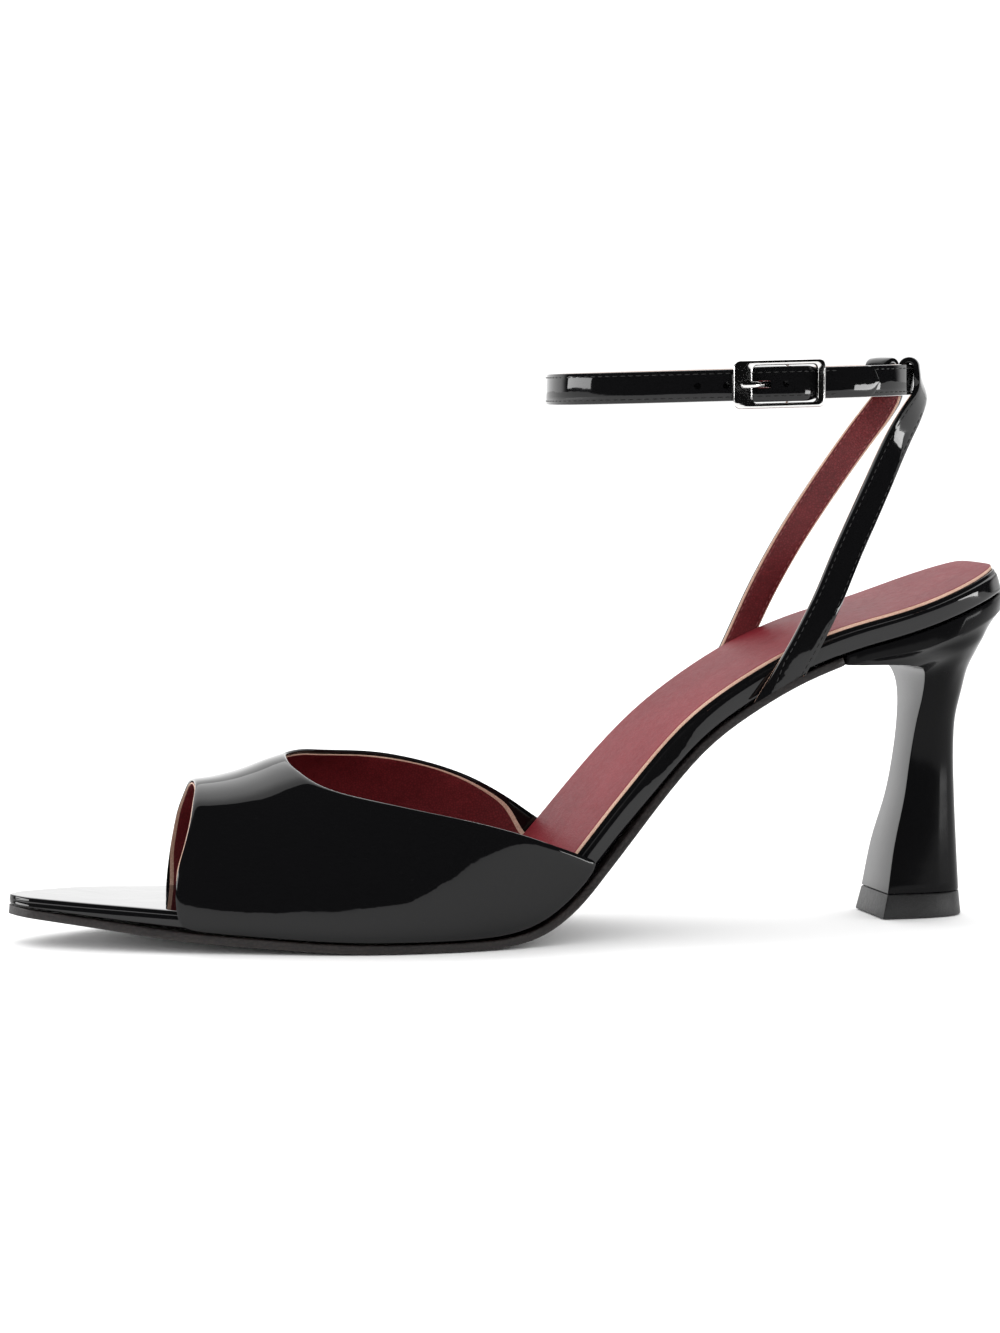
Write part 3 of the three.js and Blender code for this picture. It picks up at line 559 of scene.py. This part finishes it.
# low, high, breast, back, edge, side
heelRows = [(0.22, 0.22, -0.3, 0.503, 0.42, 0.45), (0.37, 0.37, -0.165, 0.478, 0.345, 0.4),
            (0.5, 0.51, -0.09, 0.465, 0.315, 0.372), (0.6, 0.615, -0.04, 0.477, 0.35, 0.405),
            (0.68, 0.7, -0.006, 0.53, 0.44, 0.5), (0.735, 0.775, -0.012, 0.57, 0.54, 0.66),
            (0.768, 0.835, -0.06, 0.645, 0.66, 0.83), (0.786, 0.89, -0.2, 0.725, 0.84, 0.99)]
tipTop, tipFoot = (-0.385, 0.531, 0.473, 0.49), (-0.445, 0.555, 0.5, 0.52)
heelTurns = steps(0, 88, 22)


def heelRing(breast, back, edge, side, low, high):
    outer = []
    for turn in heelTurns:
        reach = math.sin(math.radians(turn)) ** heel["round"]
        width = mix(edge, side, ease(0, heel["edgeEnd"], reach))
        width *= math.cos(math.radians(turn)) ** heel["round"]
        y = heel["length"] * mix(breast, back, reach)
        outer.append(Vector((heel["width"] * width, y, mix(low, high, reach))))
    return outer + [Vector((-p.x, p.y, p.z)) for p in reversed(outer)]


def seatRing(drop):
    front = yAt(outsole["end"]) - bedFrame(outsole["end"])[2] * shoe["sole"] + shoe["gap"]
    back = shoe["seat"] - heel["backInset"]
    outer, inner = [], []
    for turn in heelTurns:
        along = alongAt(mix(front, back, math.sin(math.radians(turn)) ** 1.1))
        right, left = outline(along, heel["margin"])
        rear = ease(0, 0.1, along - outsole["end"])
        z = bedAt(along) - drop * (heel["frontShare"] + heel["backMore"] * rear)
        outer.append(Vector((right, yAt(along), z)))
        inner.append(Vector((left, yAt(along), z)))
    return outer + inner[::-1]


foot = heel["tip"] + shoe["gap"] / 2
rings = [heelRing(*tipTop, foot, foot)]
rings += [heelRing(*row[2:], shoe["rise"] * row[0], shoe["rise"] * row[1]) for row in heelRows]
rings = fairRings(rings + [seatRing(heel["drop"])], 5) + [seatRing(0.0)]
heelCover = layGrid("heelCover", rings, [patentHeel, patentBreastPaintedLight])
# faces looking towards the toe get the lighter, glossier breast copy, a painted highlight on the heel's
# front
for face in heelCover.data.polygons:
    if face.normal.y < -0.6 and face.center.z < 0.8 * shoe["rise"] * mm:
        face.material_index = 1
softenEdges(heelCover, 0.3, 3, 50)
smoothPiece(heelCover, 40)
settle(heelCover, "heel")

rings = [heelRing(*tipFoot, 0.0, 0.0), heelRing(*tipTop, heel["tip"], heel["tip"])]
heelTip = layGrid("heelTipRubber", fairRings(rings, 2), [rubber])
softenEdges(heelTip, 0.35, 3, 50)
smoothPiece(heelTip, 40)
settle(heelTip, "heel_tip")
print("heel made")


# ankle ring that the straps follow
ankle = {"width": 7.6, "thick": 1.6, "fold": 1.0, "height": 133.2, "tilt": 0.028, "length": 92.4,
         "across": 59.0, "back": -1.4, "buckle": -44.5, "square": 2.2, "tail": 27.0, "point": 3.2,
         "swell": 0.9}
ringMiddle = ankle["back"] - ankle["length"] / 2


def ringPoint(angle):
    side = abs(math.sin(angle)) / (ankle["across"] / 2 - ankle["thick"] / 2)
    end = abs(math.cos(angle)) / (ankle["length"] / 2 - ankle["thick"] / 2)
    radius = (side ** ankle["square"] + end ** ankle["square"]) ** (-1 / ankle["square"])
    return Vector((radius * math.sin(angle), ringMiddle + radius * math.cos(angle), 0))


def ringPlace(angle, height=0.0, out=0.0):
    here = ringPoint(angle)
    run = (ringPoint(angle - 0.01) - ringPoint(angle + 0.01)).normalized()
    normal = Vector((run.y, -run.x, 0))
    level = ankle["height"] + ankle["tilt"] * (here.y - ringMiddle)
    return Vector((here.x, here.y, level + height)) + normal * out, normal, run


ringTable = [ringPoint(i * 2 * math.pi / 720) for i in range(721)]
ringLengths = [0.0]
for first, second in zip(ringTable, ringTable[1:]):
    ringLengths.append(ringLengths[-1] + (second - first).length)
ringLength = ringLengths[-1]
buckleAngle = math.acos((ankle["buckle"] - ringMiddle) / (ankle["length"] / 2))
buckleRun = ringLengths[round(buckleAngle / (2 * math.pi) * 720)]


def onRing(length, height=0.0, out=0.0):
    run = (buckleRun - length) % ringLength
    i = 0
    while i < 719 and ringLengths[i + 1] < run:
        i += 1
    part = (run - ringLengths[i]) / (ringLengths[i + 1] - ringLengths[i])
    return ringPlace((i + part) * 2 * math.pi / 720, height, out)


def strapRing(point, across, out, width, thickness, dome=0.12):
    # a strap's section: inner face, round edge, slightly domed outer face, round edge
    half, skin, soft = width / 2, thickness / 2, min(0.4, thickness / 2.6)
    side = [(half - soft, -skin), (half - 0.12 * soft, -skin + 0.4 * soft), (half, -skin + soft),
            (half, skin - soft), (half - 0.25 * soft, skin - 0.25 * soft), (half - soft, skin)]
    top = [((half - soft) * s, skin + dome * (1 - s * s)) for s in (0.5, 0.0, -0.5)]
    under = [(-half * 0.45, -skin), (half * 0.45, -skin)]
    profile = side + top + [(-u, v) for u, v in reversed(side)] + under
    return [point + across * u + out * v for u, v in profile]


strapInks = [2, 2] + [0] * 10 + [2, 2] + [1] * 3  # patent, lining and its raw edges round the section
print("ankle ring measured, length", round(ringLength, 1))


# buckle sizes, shared with the strap
buckle = {"length": 22.4, "height": 11.6, "thick": 1.6, "front": 4.6, "rear": 2.1, "side": 1.3,
          "corner": 1.6, "innerCorner": 1.1, "bar": 0.5, "barPlace": 3.0, "prong": 1.6, "prongThick": 0.8,
          "eye": 0.6, "eyeThick": 1.3}
layerOut = ankle["thick"] + shoe["gap"]
loopRadius = buckle["bar"] + shoe["gap"] + ankle["fold"] / 2
overFold = loopRadius + ankle["fold"] / 2 + shoe["gap"] + ankle["thick"] / 2
frameOut = layerOut + ankle["thick"] / 2 + shoe["gap"] + buckle["thick"] / 2
frameInner = buckle["front"] - buckle["length"] / 2
outerRows = [(-29, 0), (-20, 0.5), (-14.5, 0.97), (-9.3, 1), (-4.5, 1.5), (-1.6, 2), (1.6, 2), (4.4, 1.5),
             (6.4, 1), (25, 1)]
shortRows = [(0, 1, 1), (2, 0.87, 1), (4, 0.5, 1), (6, 0.17, 0.9), (8, 0.03, 0.6), (12, 0, 0)]
levelAt, shortRise, shortSkive = through(outerRows, 1), through(shortRows, 1), through(shortRows, 2)
upward = Vector((0, 0, 1))


def outerOut(length):
    level = levelAt(length - buckle["barPlace"])
    return layerOut * level if level <= 1 else mix(layerOut, overFold, level - 1)


def strapPlace(length, outAt):
    slope = (outAt(length + 0.3) - outAt(length - 0.3)) / 0.6
    point, out, run = onRing(length, 0, outAt(length))
    return point, (out - run * slope).normalized()


# ankle strap
stations = []  # point, out, width, thickness
lengths = steps(ankle["tail"], 15, 10)[:-1] + steps(15, -30, 60)
lengths += steps(-32, buckle["barPlace"] + 13 - ringLength, 110)
for length in lengths:
    point, out = strapPlace(length, outerOut if length > -31 else (lambda _: 0.0))
    beyond = (ankle["tail"] - length) / ankle["point"]  # the tail ends in a round point
    width = ankle["width"] + ankle["swell"] * ease(-7.5, -5.5, length) * (1 - ease(7.0, 9.5, length))
    width *= math.sqrt(max(1 - (1 - min(beyond, 1.0)) ** 2, 0.03))
    stations.append((point, out, width, ankle["thick"]))
for beyond in steps(12, 1, 14):
    place = buckle["barPlace"] + beyond
    point, out = strapPlace(place, lambda length: loopRadius * shortRise(length - buckle["barPlace"]))
    stations.append((point, out, ankle["width"], mix(ankle["thick"], ankle["fold"], shortSkive(beyond))))
for angle in steps(90, -90, 12):
    turn = math.radians(angle)
    place = buckle["barPlace"] - loopRadius * math.cos(turn)
    point, out, run = onRing(place, 0, loopRadius * math.sin(turn))
    stations.append((point, out * math.sin(turn) - run * math.cos(turn), ankle["width"], ankle["fold"]))
for beyond in (2.0, 3.5, 5.0):
    point, out = onRing(buckle["barPlace"] + beyond, 0, -loopRadius)[:2]
    stations.append((point, -out, ankle["width"], ankle["fold"]))
rings = [strapRing(point, upward, out, width, thick) for point, out, width, thick in stations]
strap = layGrid("ankleStrapPatent", rings, [patentStrap, lining, rawEdge], inks=strapInks)


def cutAway(piece, cutter):
    modifier = piece.modifiers.new("cut", "BOOLEAN")
    modifier.operation, modifier.object, modifier.solver = "DIFFERENCE", cutter, "EXACT"
    applyModifiers(piece)
    bpy.data.objects.remove(cutter)


def holePunch(length, height, radius, low, high):
    point, out = onRing(length, height, (low + high) / 2)[:2]
    bpy.ops.object.select_all(action="DESELECT")
    bpy.ops.mesh.primitive_cylinder_add(vertices=20, radius=radius * mm, depth=(high - low) * mm,
                                        location=point * mm)
    punch = bpy.context.object
    punch.rotation_euler = out.to_track_quat("Z", "Y").to_euler()
    bpy.ops.object.transform_apply(location=True, rotation=True, scale=True)
    return punch


def boxPunch(name, lengths, half, low, high):
    rings = []
    for length in lengths:
        corners = ((-half, low), (half, low), (half, high), (-half, high))
        rings.append([onRing(length, height, out)[0] for height, out in corners])
    return layGrid(name, rings, [patentStrap])


# places give a hole's length along the strap and the level of its bottom
holes = {"radius": 0.8, "places": [(-19.2, 0.5), (-12.6, 1.4), (1.4, 2.6)], "depth": 5.0}
slot = {"from": 1.6, "to": 4.5, "half": 0.86, "eyeHalf": 1.1, "middle": 3.5, "reach": 4.5, "tall": 1.4}
eyeReach = buckle["bar"] + 2 * shoe["gap"] + buckle["eye"]
prongSlot = steps(frameInner + slot["from"], frameInner + slot["to"], 4)
cutAway(strap, boxPunch("prongSlot", prongSlot, slot["half"], 0.5, overFold + 2))
eyeSlot = steps(buckle["barPlace"] - eyeReach - 1, buckle["barPlace"] + eyeReach, 4)
cutAway(strap, boxPunch("eyeSlot", eyeSlot, slot["eyeHalf"], -3, overFold - ankle["thick"] / 2 - 0.1))
for length, low in holes["places"]:
    cutAway(strap, holePunch(length, 0, holes["radius"], low, low + holes["depth"]))
slotPlace, slotOut = onRing(frameInner + slot["middle"])[:2]
for face in strap.data.polygons:
    away = face.center / mm - slotPlace
    if away.length < slot["reach"] and abs(away.z) < slot["tall"] and away.dot(slotOut) > -0.5:
        face.material_index = 0  # the slot's walls are dark
smoothPiece(strap, 40)
settle(strap, "ankle_strap")
print("ankle strap made")


# buckle
def frameOutline(start, end, half, radius):
    # points round a rectangle with round corners, in length and height
    out = []
    for x, z, first in ((end - radius, half - radius, 0), (start + radius, half - radius, 90),
                        (start + radius, radius - half, 180), (end - radius, radius - half, 270)):
        for angle in steps(math.radians(first), math.radians(first + 90), 6):
            out.append((x + radius * math.cos(angle), z + radius * math.sin(angle)))
    return out


half = buckle["length"] / 2
outerEdge = frameOutline(-half, half, buckle["height"] / 2, buckle["corner"])
innerEdge = frameOutline(frameInner, half - buckle["rear"], buckle["height"] / 2 - buckle["side"],
                         buckle["innerCorner"])
skin = buckle["thick"] / 2
frameSection = [(0.0, -skin * 0.5), (0.0, skin * 0.5), (0.14, skin * 0.92), (0.36, skin * 1.12),
                (0.64, skin * 1.12), (0.86, skin * 0.92), (1.0, skin * 0.5), (1.0, -skin * 0.5),
                (0.86, -skin), (0.14, -skin)]
dense = []
for i in range(len(outerEdge)):
    j = (i + 1) % len(outerEdge)
    far = math.dist(outerEdge[i], outerEdge[j])
    parts = max(1, round(far / 1.6))
    for s in steps(0, 1, parts)[:-1]:
        dense.append([[mix(edge[i][k], edge[j][k], s) for k in (0, 1)] for edge in (innerEdge, outerEdge)])
rings = []
for inner, outer in dense:
    rings.append([onRing(mix(inner[0], outer[0], s), mix(inner[1], outer[1], s), frameOut + o)[0]
                  for s, o in frameSection])
buckleFrame = layGrid("buckleFrameMetal", rings, [steel], endless=True)
subdivide(buckleFrame, 2)
smoothPiece(buckleFrame, 60)
settle(buckleFrame, "buckle_frame")


def sweep(name, path, width, thick, finish, sides=10):
    # a round or flattened wire along a path of points in strap space
    rings = []
    for i, (length, height, out) in enumerate(path):
        before, after = path[max(i - 1, 0)], path[min(i + 1, len(path) - 1)]
        here, normal, run = onRing(length, height, out)
        along = (onRing(*after)[0] - onRing(*before)[0]).normalized()
        across = upward if abs(along.z) < 0.7 else run
        across = (across - along * across.dot(along)).normalized()
        face = along.cross(across)
        w, t = (width(i), thick(i))
        rings.append([here + across * (w / 2 * math.cos(a)) + face * (t / 2 * math.sin(a))
                      for a in (2 * math.pi * k / sides for k in range(sides))])
    piece = layGrid(name, rings, [finish])
    subdivide(piece, 1)
    smoothPiece(piece, 70)
    return piece


barEnd = buckle["height"] / 2 - buckle["side"] / 2
barPath = [(buckle["barPlace"], barEnd, frameOut), (buckle["barPlace"], barEnd, frameOut * 0.5),
           (buckle["barPlace"], barEnd - 0.1, 0.45), (buckle["barPlace"], barEnd - 0.5, 0.05)]
barPath += [(buckle["barPlace"], h, 0.0) for h in steps(barEnd - 1.2, 1.2 - barEnd, 6)]
barPath += [(p[0], -p[1], p[2]) for p in reversed(barPath[:4])]
bar = sweep("buckleBar", barPath, lambda i: 1.0, lambda i: 1.0, steel)
settle(bar, "buckle_frame")

eyeRadius = buckle["bar"] + shoe["gap"] + buckle["eye"] / 2
restOut = frameOut + skin + shoe["gap"] * 0.6 + buckle["prongThick"] / 2
prongPath = [(buckle["barPlace"] + eyeRadius * math.cos(a), 0, eyeRadius * math.sin(a))
             for a in steps(math.radians(150), math.radians(-100), 12)]
prongPath += [(buckle["barPlace"] - 1.6, 0, -eyeRadius * 0.6),
              (buckle["barPlace"] - 2.9, 0, eyeRadius * 0.35),
              (frameInner + 5.9, 0, eyeRadius * 0.75), (frameInner + 4.1, 0, mix(eyeRadius, restOut, 0.17)),
              (frameInner + 2.5, 0, mix(eyeRadius, restOut, 0.53)),
              (frameInner + 1.1, 0, mix(eyeRadius, restOut, 0.86)),
              (frameInner - 0.1, 0, restOut), (frameInner - 1.4, 0, restOut),
              (frameInner - 2.6, 0, restOut), (frameInner - 3.0, 0, restOut)]
last = len(prongPath) - 1
prong = sweep("buckleProngArm", prongPath,
              lambda i: 0.5 if i == last else mix(buckle["eyeThick"], buckle["prong"], ease(12, 16, i)),
              lambda i: 0.3 if i == last else mix(buckle["eye"], 1.0, ease(12, 16, i)), steel)
settle(prong, "buckle_prong")
print("buckle made")


# back straps
leg = {"width": 7.4, "thick": 1.6, "ease": 0.35, "station": 0.735, "attach": 13.0, "bow": 2.5, "snug": 0.08,
       "rises": 16, "slack": 0.8}
# rise, lean, back, turn
legRows = [(0, 0, 0, 0), (0.1, 0, 0.11, 0), (0.25, 0.05, 0.26, 0.03), (0.45, 0.32, 0.45, 0.1),
           (0.65, 0.61, 0.65, 0.2), (0.85, 0.88, 0.85, 0.36), (0.95, 0.97, 0.96, 0.55), (1, 1, 1, 0.75)]
legLean, legBack, legTurn = through(legRows, 1), through(legRows, 2), through(legRows, 3)


def legStations(side):
    def sideOf(along):
        return outline(along)[0] if side > 0 else -outline(along)[1]

    def ringAt(height, out):
        point = ringPlace(side * math.radians(leg["attach"]), height, out)[0]
        return Vector((abs(point.x), point.y, point.z))

    away = shoe["gap"] + leg["thick"] / 2
    footY, footZ, upY, upZ = bedFrame(leg["station"])
    reach = ankle["thick"] / 2 + leg["thick"] / 2 + leg["snug"]
    top = ringAt(0.4 - ankle["width"] / 2, reach + leg["slack"])
    bow = 0 if side > 0 else leg["bow"]
    rises = steps(0, 1, leg["rises"])
    path = []
    for rise in rises:
        y = mix(footY, top.y, legBack(rise)) - bow * math.sin(math.pi * rise)
        wide = sideOf(alongAt(y)) + away + leg["ease"]
        path.append(Vector((mix(wide, top.x, legLean(rise)), y, mix(footZ + shoe["gap"], top.z, rise))))
    bend, inner = ankle["width"] / 2 - 0.75, reach + 0.2
    path.append(ringAt(0.2, reach + 0.3))
    for turn in steps(0, math.pi, 12):
        out = math.cos(turn) * (reach if math.cos(turn) > 0 else inner)
        path.append(ringAt(bend + reach * math.sin(turn), out))
    path += [ringAt(0, -inner), ringAt(-ankle["width"] / 2, -inner)]
    foldAcross = ringPlace(math.radians(leg["attach"]))[2]
    flare = (sideOf(leg["station"] + 0.02) - sideOf(leg["station"] - 0.02)) / (0.04 * shoe["length"])
    soleRun = Vector((flare * upZ, upZ, -upY)).normalized()
    soleOut = Vector((1, -flare, 0)).normalized()
    out = []
    for i, point in enumerate(path):
        run = (path[min(i + 1, len(path) - 1)] - path[max(i - 1, 0)]).normalized()
        level = run.cross(soleOut).normalized()
        turned = legTurn(rises[i]) if i < len(rises) else 1.0
        hint = level.lerp(foldAcross, turned)
        across = (hint - run * hint.dot(run)).normalized()
        face = across.cross(run)
        width = leg["width"]
        if i == 0:
            width /= abs(soleRun.dot(across))
            across = soleRun
        out.append([Vector((v.x * side, v.y, v.z)) for v in (point, across, face)] + [width])
    return out


legs = {}
for side, name in ((1, "legOuter"), (-1, "legInner")):
    stops = legStations(side)
    legs[name] = stops
    rings = [strapRing(point, across, face, width, leg["thick"]) for point, across, face, width in stops]
    piece = layGrid(name + "Strap", fairRings(rings, 3), [patentStrap, lining, rawEdge], inks=strapInks)
    for face in piece.data.polygons:
        if face.center.z > (ankle["height"] - ankle["width"] / 2 + 1.4) * mm:
            face.material_index = 0  # the fold over the ankle strap is patent all round
    smoothPiece(piece, 45)
    settle(piece, "back_straps")

reach = ankle["thick"] / 2 + shoe["gap"] + leg["thick"] / 2
rings = []
for angle in steps(-leg["attach"] - 4, leg["attach"] + 4, 12):
    point, out, run = ringPlace(math.radians(angle), 0, -reach)
    rings.append(strapRing(point, upward, -out, leg["width"], leg["thick"], 0.0))
joint = layGrid("backStrapJoint", rings, [lining])
smoothPiece(joint, 45)
settle(joint, "back_straps")
print("back straps made")


# stitches
stitch = {"pitch": 1.95, "long": 1.45, "wide": 0.3, "high": 0.22, "inset": 0.95,
          "proud": 0.06, "sunk": 0.02, "start": 1.5, "end": 1.0}


def sewRow(name, spots, finish):
    # spots give a stitch's middle, its run and its outward side
    bpy.ops.object.select_all(action="DESELECT")
    bpy.ops.mesh.primitive_uv_sphere_add(segments=8, ring_count=5, radius=0.5)
    first = bpy.context.object
    first.scale = (stitch["long"] * mm, stitch["wide"] * mm, stitch["high"] * mm)
    bpy.ops.object.transform_apply(location=True, rotation=True, scale=True)
    bpy.ops.object.shade_smooth()
    first.data.materials.append(finish)
    copies = []
    for point, run, out in spots:
        across = out.cross(run).normalized()
        turn = Matrix((run.normalized(), across, run.normalized().cross(across))).transposed().to_4x4()
        copy = bpy.data.objects.new(name, first.data.copy())
        bpy.context.collection.objects.link(copy)
        copy.data.transform(Matrix.Translation(point * mm) @ turn)
        copies.append(copy)
    bpy.data.objects.remove(first)
    bpy.ops.object.select_all(action="DESELECT")
    for copy in copies:
        copy.select_set(True)
    bpy.context.view_layer.objects.active = copies[0]
    bpy.ops.object.join()
    copies[0].name = name
    return copies[0]


def rowAlong(points, outs, start, end):
    # even places along a run of points
    lengths = [0.0]
    for a, b in zip(points, points[1:]):
        lengths.append(lengths[-1] + (b - a).length)
    spots, place = [], start
    while place < lengths[-1] - end:
        i = max(k for k in range(len(points) - 1) if lengths[k] <= place)
        s = (place - lengths[i]) / (lengths[i + 1] - lengths[i])
        point, out = points[i].lerp(points[i + 1], s), outs[i].lerp(outs[i + 1], s)
        spots.append((point, points[i + 1] - points[i], out))
        place += stitch["pitch"]
    return spots


spots = []
for edge in (1, -1):
    inset = edge * (ankle["width"] / 2 - stitch["inset"])
    strapRun = stations[10:178]  # from behind the tail's point to the fold
    points = [point + upward * inset + out * (thick / 2 + stitch["proud"])
              for point, out, width, thick in strapRun]
    spots += rowAlong(points, [out for point, out, width, thick in strapRun], stitch["end"], stitch["end"])
seam = sewRow("ankleStrapStitches", spots, threadBlack)
settle(seam, "ankle_strap")

for name, stops in legs.items():
    outside, inside = [], []
    for edge in (1, -1):
        run = stops[:leg["rises"] + 1]
        inset = edge * (leg["width"] / 2 - stitch["inset"])
        faces = [face for point, across, face, width in run]
        high = leg["thick"] / 2 + stitch["proud"]
        points = [point + across * inset + face * high for point, across, face, width in run]
        outside += rowAlong(points, faces, stitch["start"], stitch["end"])
        high = leg["thick"] / 2 + stitch["sunk"]
        points = [point + across * inset - face * high for point, across, face, width in run]
        inside += rowAlong(points, [-face for face in faces], stitch["start"], stitch["end"])
    seam = sewRow(name + "Stitches", outside, threadBlack)
    settle(seam, "back_straps")
    seam = sewRow(name + "LiningStitches", inside, threadRed)
    settle(seam, "back_straps")
print("stitches sewn")


# floor, lights and surroundings
floorFinish, wire, place = startFinish("floorPale")
tone = noise(wire, place, 1.5).smooth(0.2, 0.9)
endFinish(wire, {"Base Color": tone.blend((0.95, 0.95, 0.95, 1), (0.96, 0.96, 0.96, 1)), "Roughness": 0.9})
bpy.ops.object.select_all(action="DESELECT")
bpy.ops.mesh.primitive_plane_add(size=24.0, location=(-10.8, 0, -0.0002))
floor = bpy.context.object
floor.name = "floor"
bpy.ops.object.transform_apply(location=True, rotation=True, scale=True)
floor.data.materials.append(floorFinish)


def softbox(name, place, aim, wide, high, power):
    bpy.ops.object.light_add(type="AREA", location=place)
    lamp = bpy.context.object
    lamp.name = name
    lamp.data.shape = "RECTANGLE"
    lamp.data.size, lamp.data.size_y = wide, high
    lamp.data.energy = power
    lamp.rotation_euler = (Vector(aim) - Vector(place)).to_track_quat("-Z", "Y").to_euler()


softbox("ceilingBox", (-1.3, -0.1, 1.25), (-1.3, -0.1, 0.0), 1.9, 2.6, 18.0)
softbox("toeSideBox", (-0.2, -1.5, 0.3), (0.0, -0.1, 0.13), 0.95, 0.3, 7.0)
softbox("heelSideBox", (0.58, 1.05, 0.055), (0.01, 0.0, 0.12), 0.5, 0.1, 1.9)

world = bpy.data.worlds.new("studio")
bpy.context.scene.world = world
world.use_nodes = True
world.node_tree.nodes.clear()
wire = Wire(world.node_tree)
direction = wire.node("TexCoord", {}, {}, 0)
sky = {"horizon": 1.8, "fall": 0.7, "dim": 0.006, "seen": 1.06, "spread": 0.3}
towards = wire.node("VectorMath", {"operation": "DOT_PRODUCT"}, {0: direction, 1: (0.97, -0.24, 0.0)}, 1)
level = direction.node("SeparateXYZ", {}, {0: direction}, 2)
dark = towards.smooth(-0.5, -0.25)
viewed, spread = wire.node("LightPath", {}, {}, 0), wire.node("LightPath", {}, {}, 2)
seen = viewed.maths("MAXIMUM", viewed, spread)
bright = (1 - dark) * (sky["horizon"] - sky["fall"] * level.smooth(0.1, 0.5)) + sky["dim"]
glow = wire.node("Background", {}, {"Color": (1, 1, 1, 1), "Strength": bright})
white = sky["seen"] + sky["spread"] * spread
backdrop = wire.node("Background", {}, {"Color": (1, 1, 1, 1), "Strength": white})
surface = wire.node("MixShader", {}, {0: seen, 1: glow, 2: backdrop})
wire.node("OutputWorld", {}, {"Surface": surface})
print("stage and lights set")
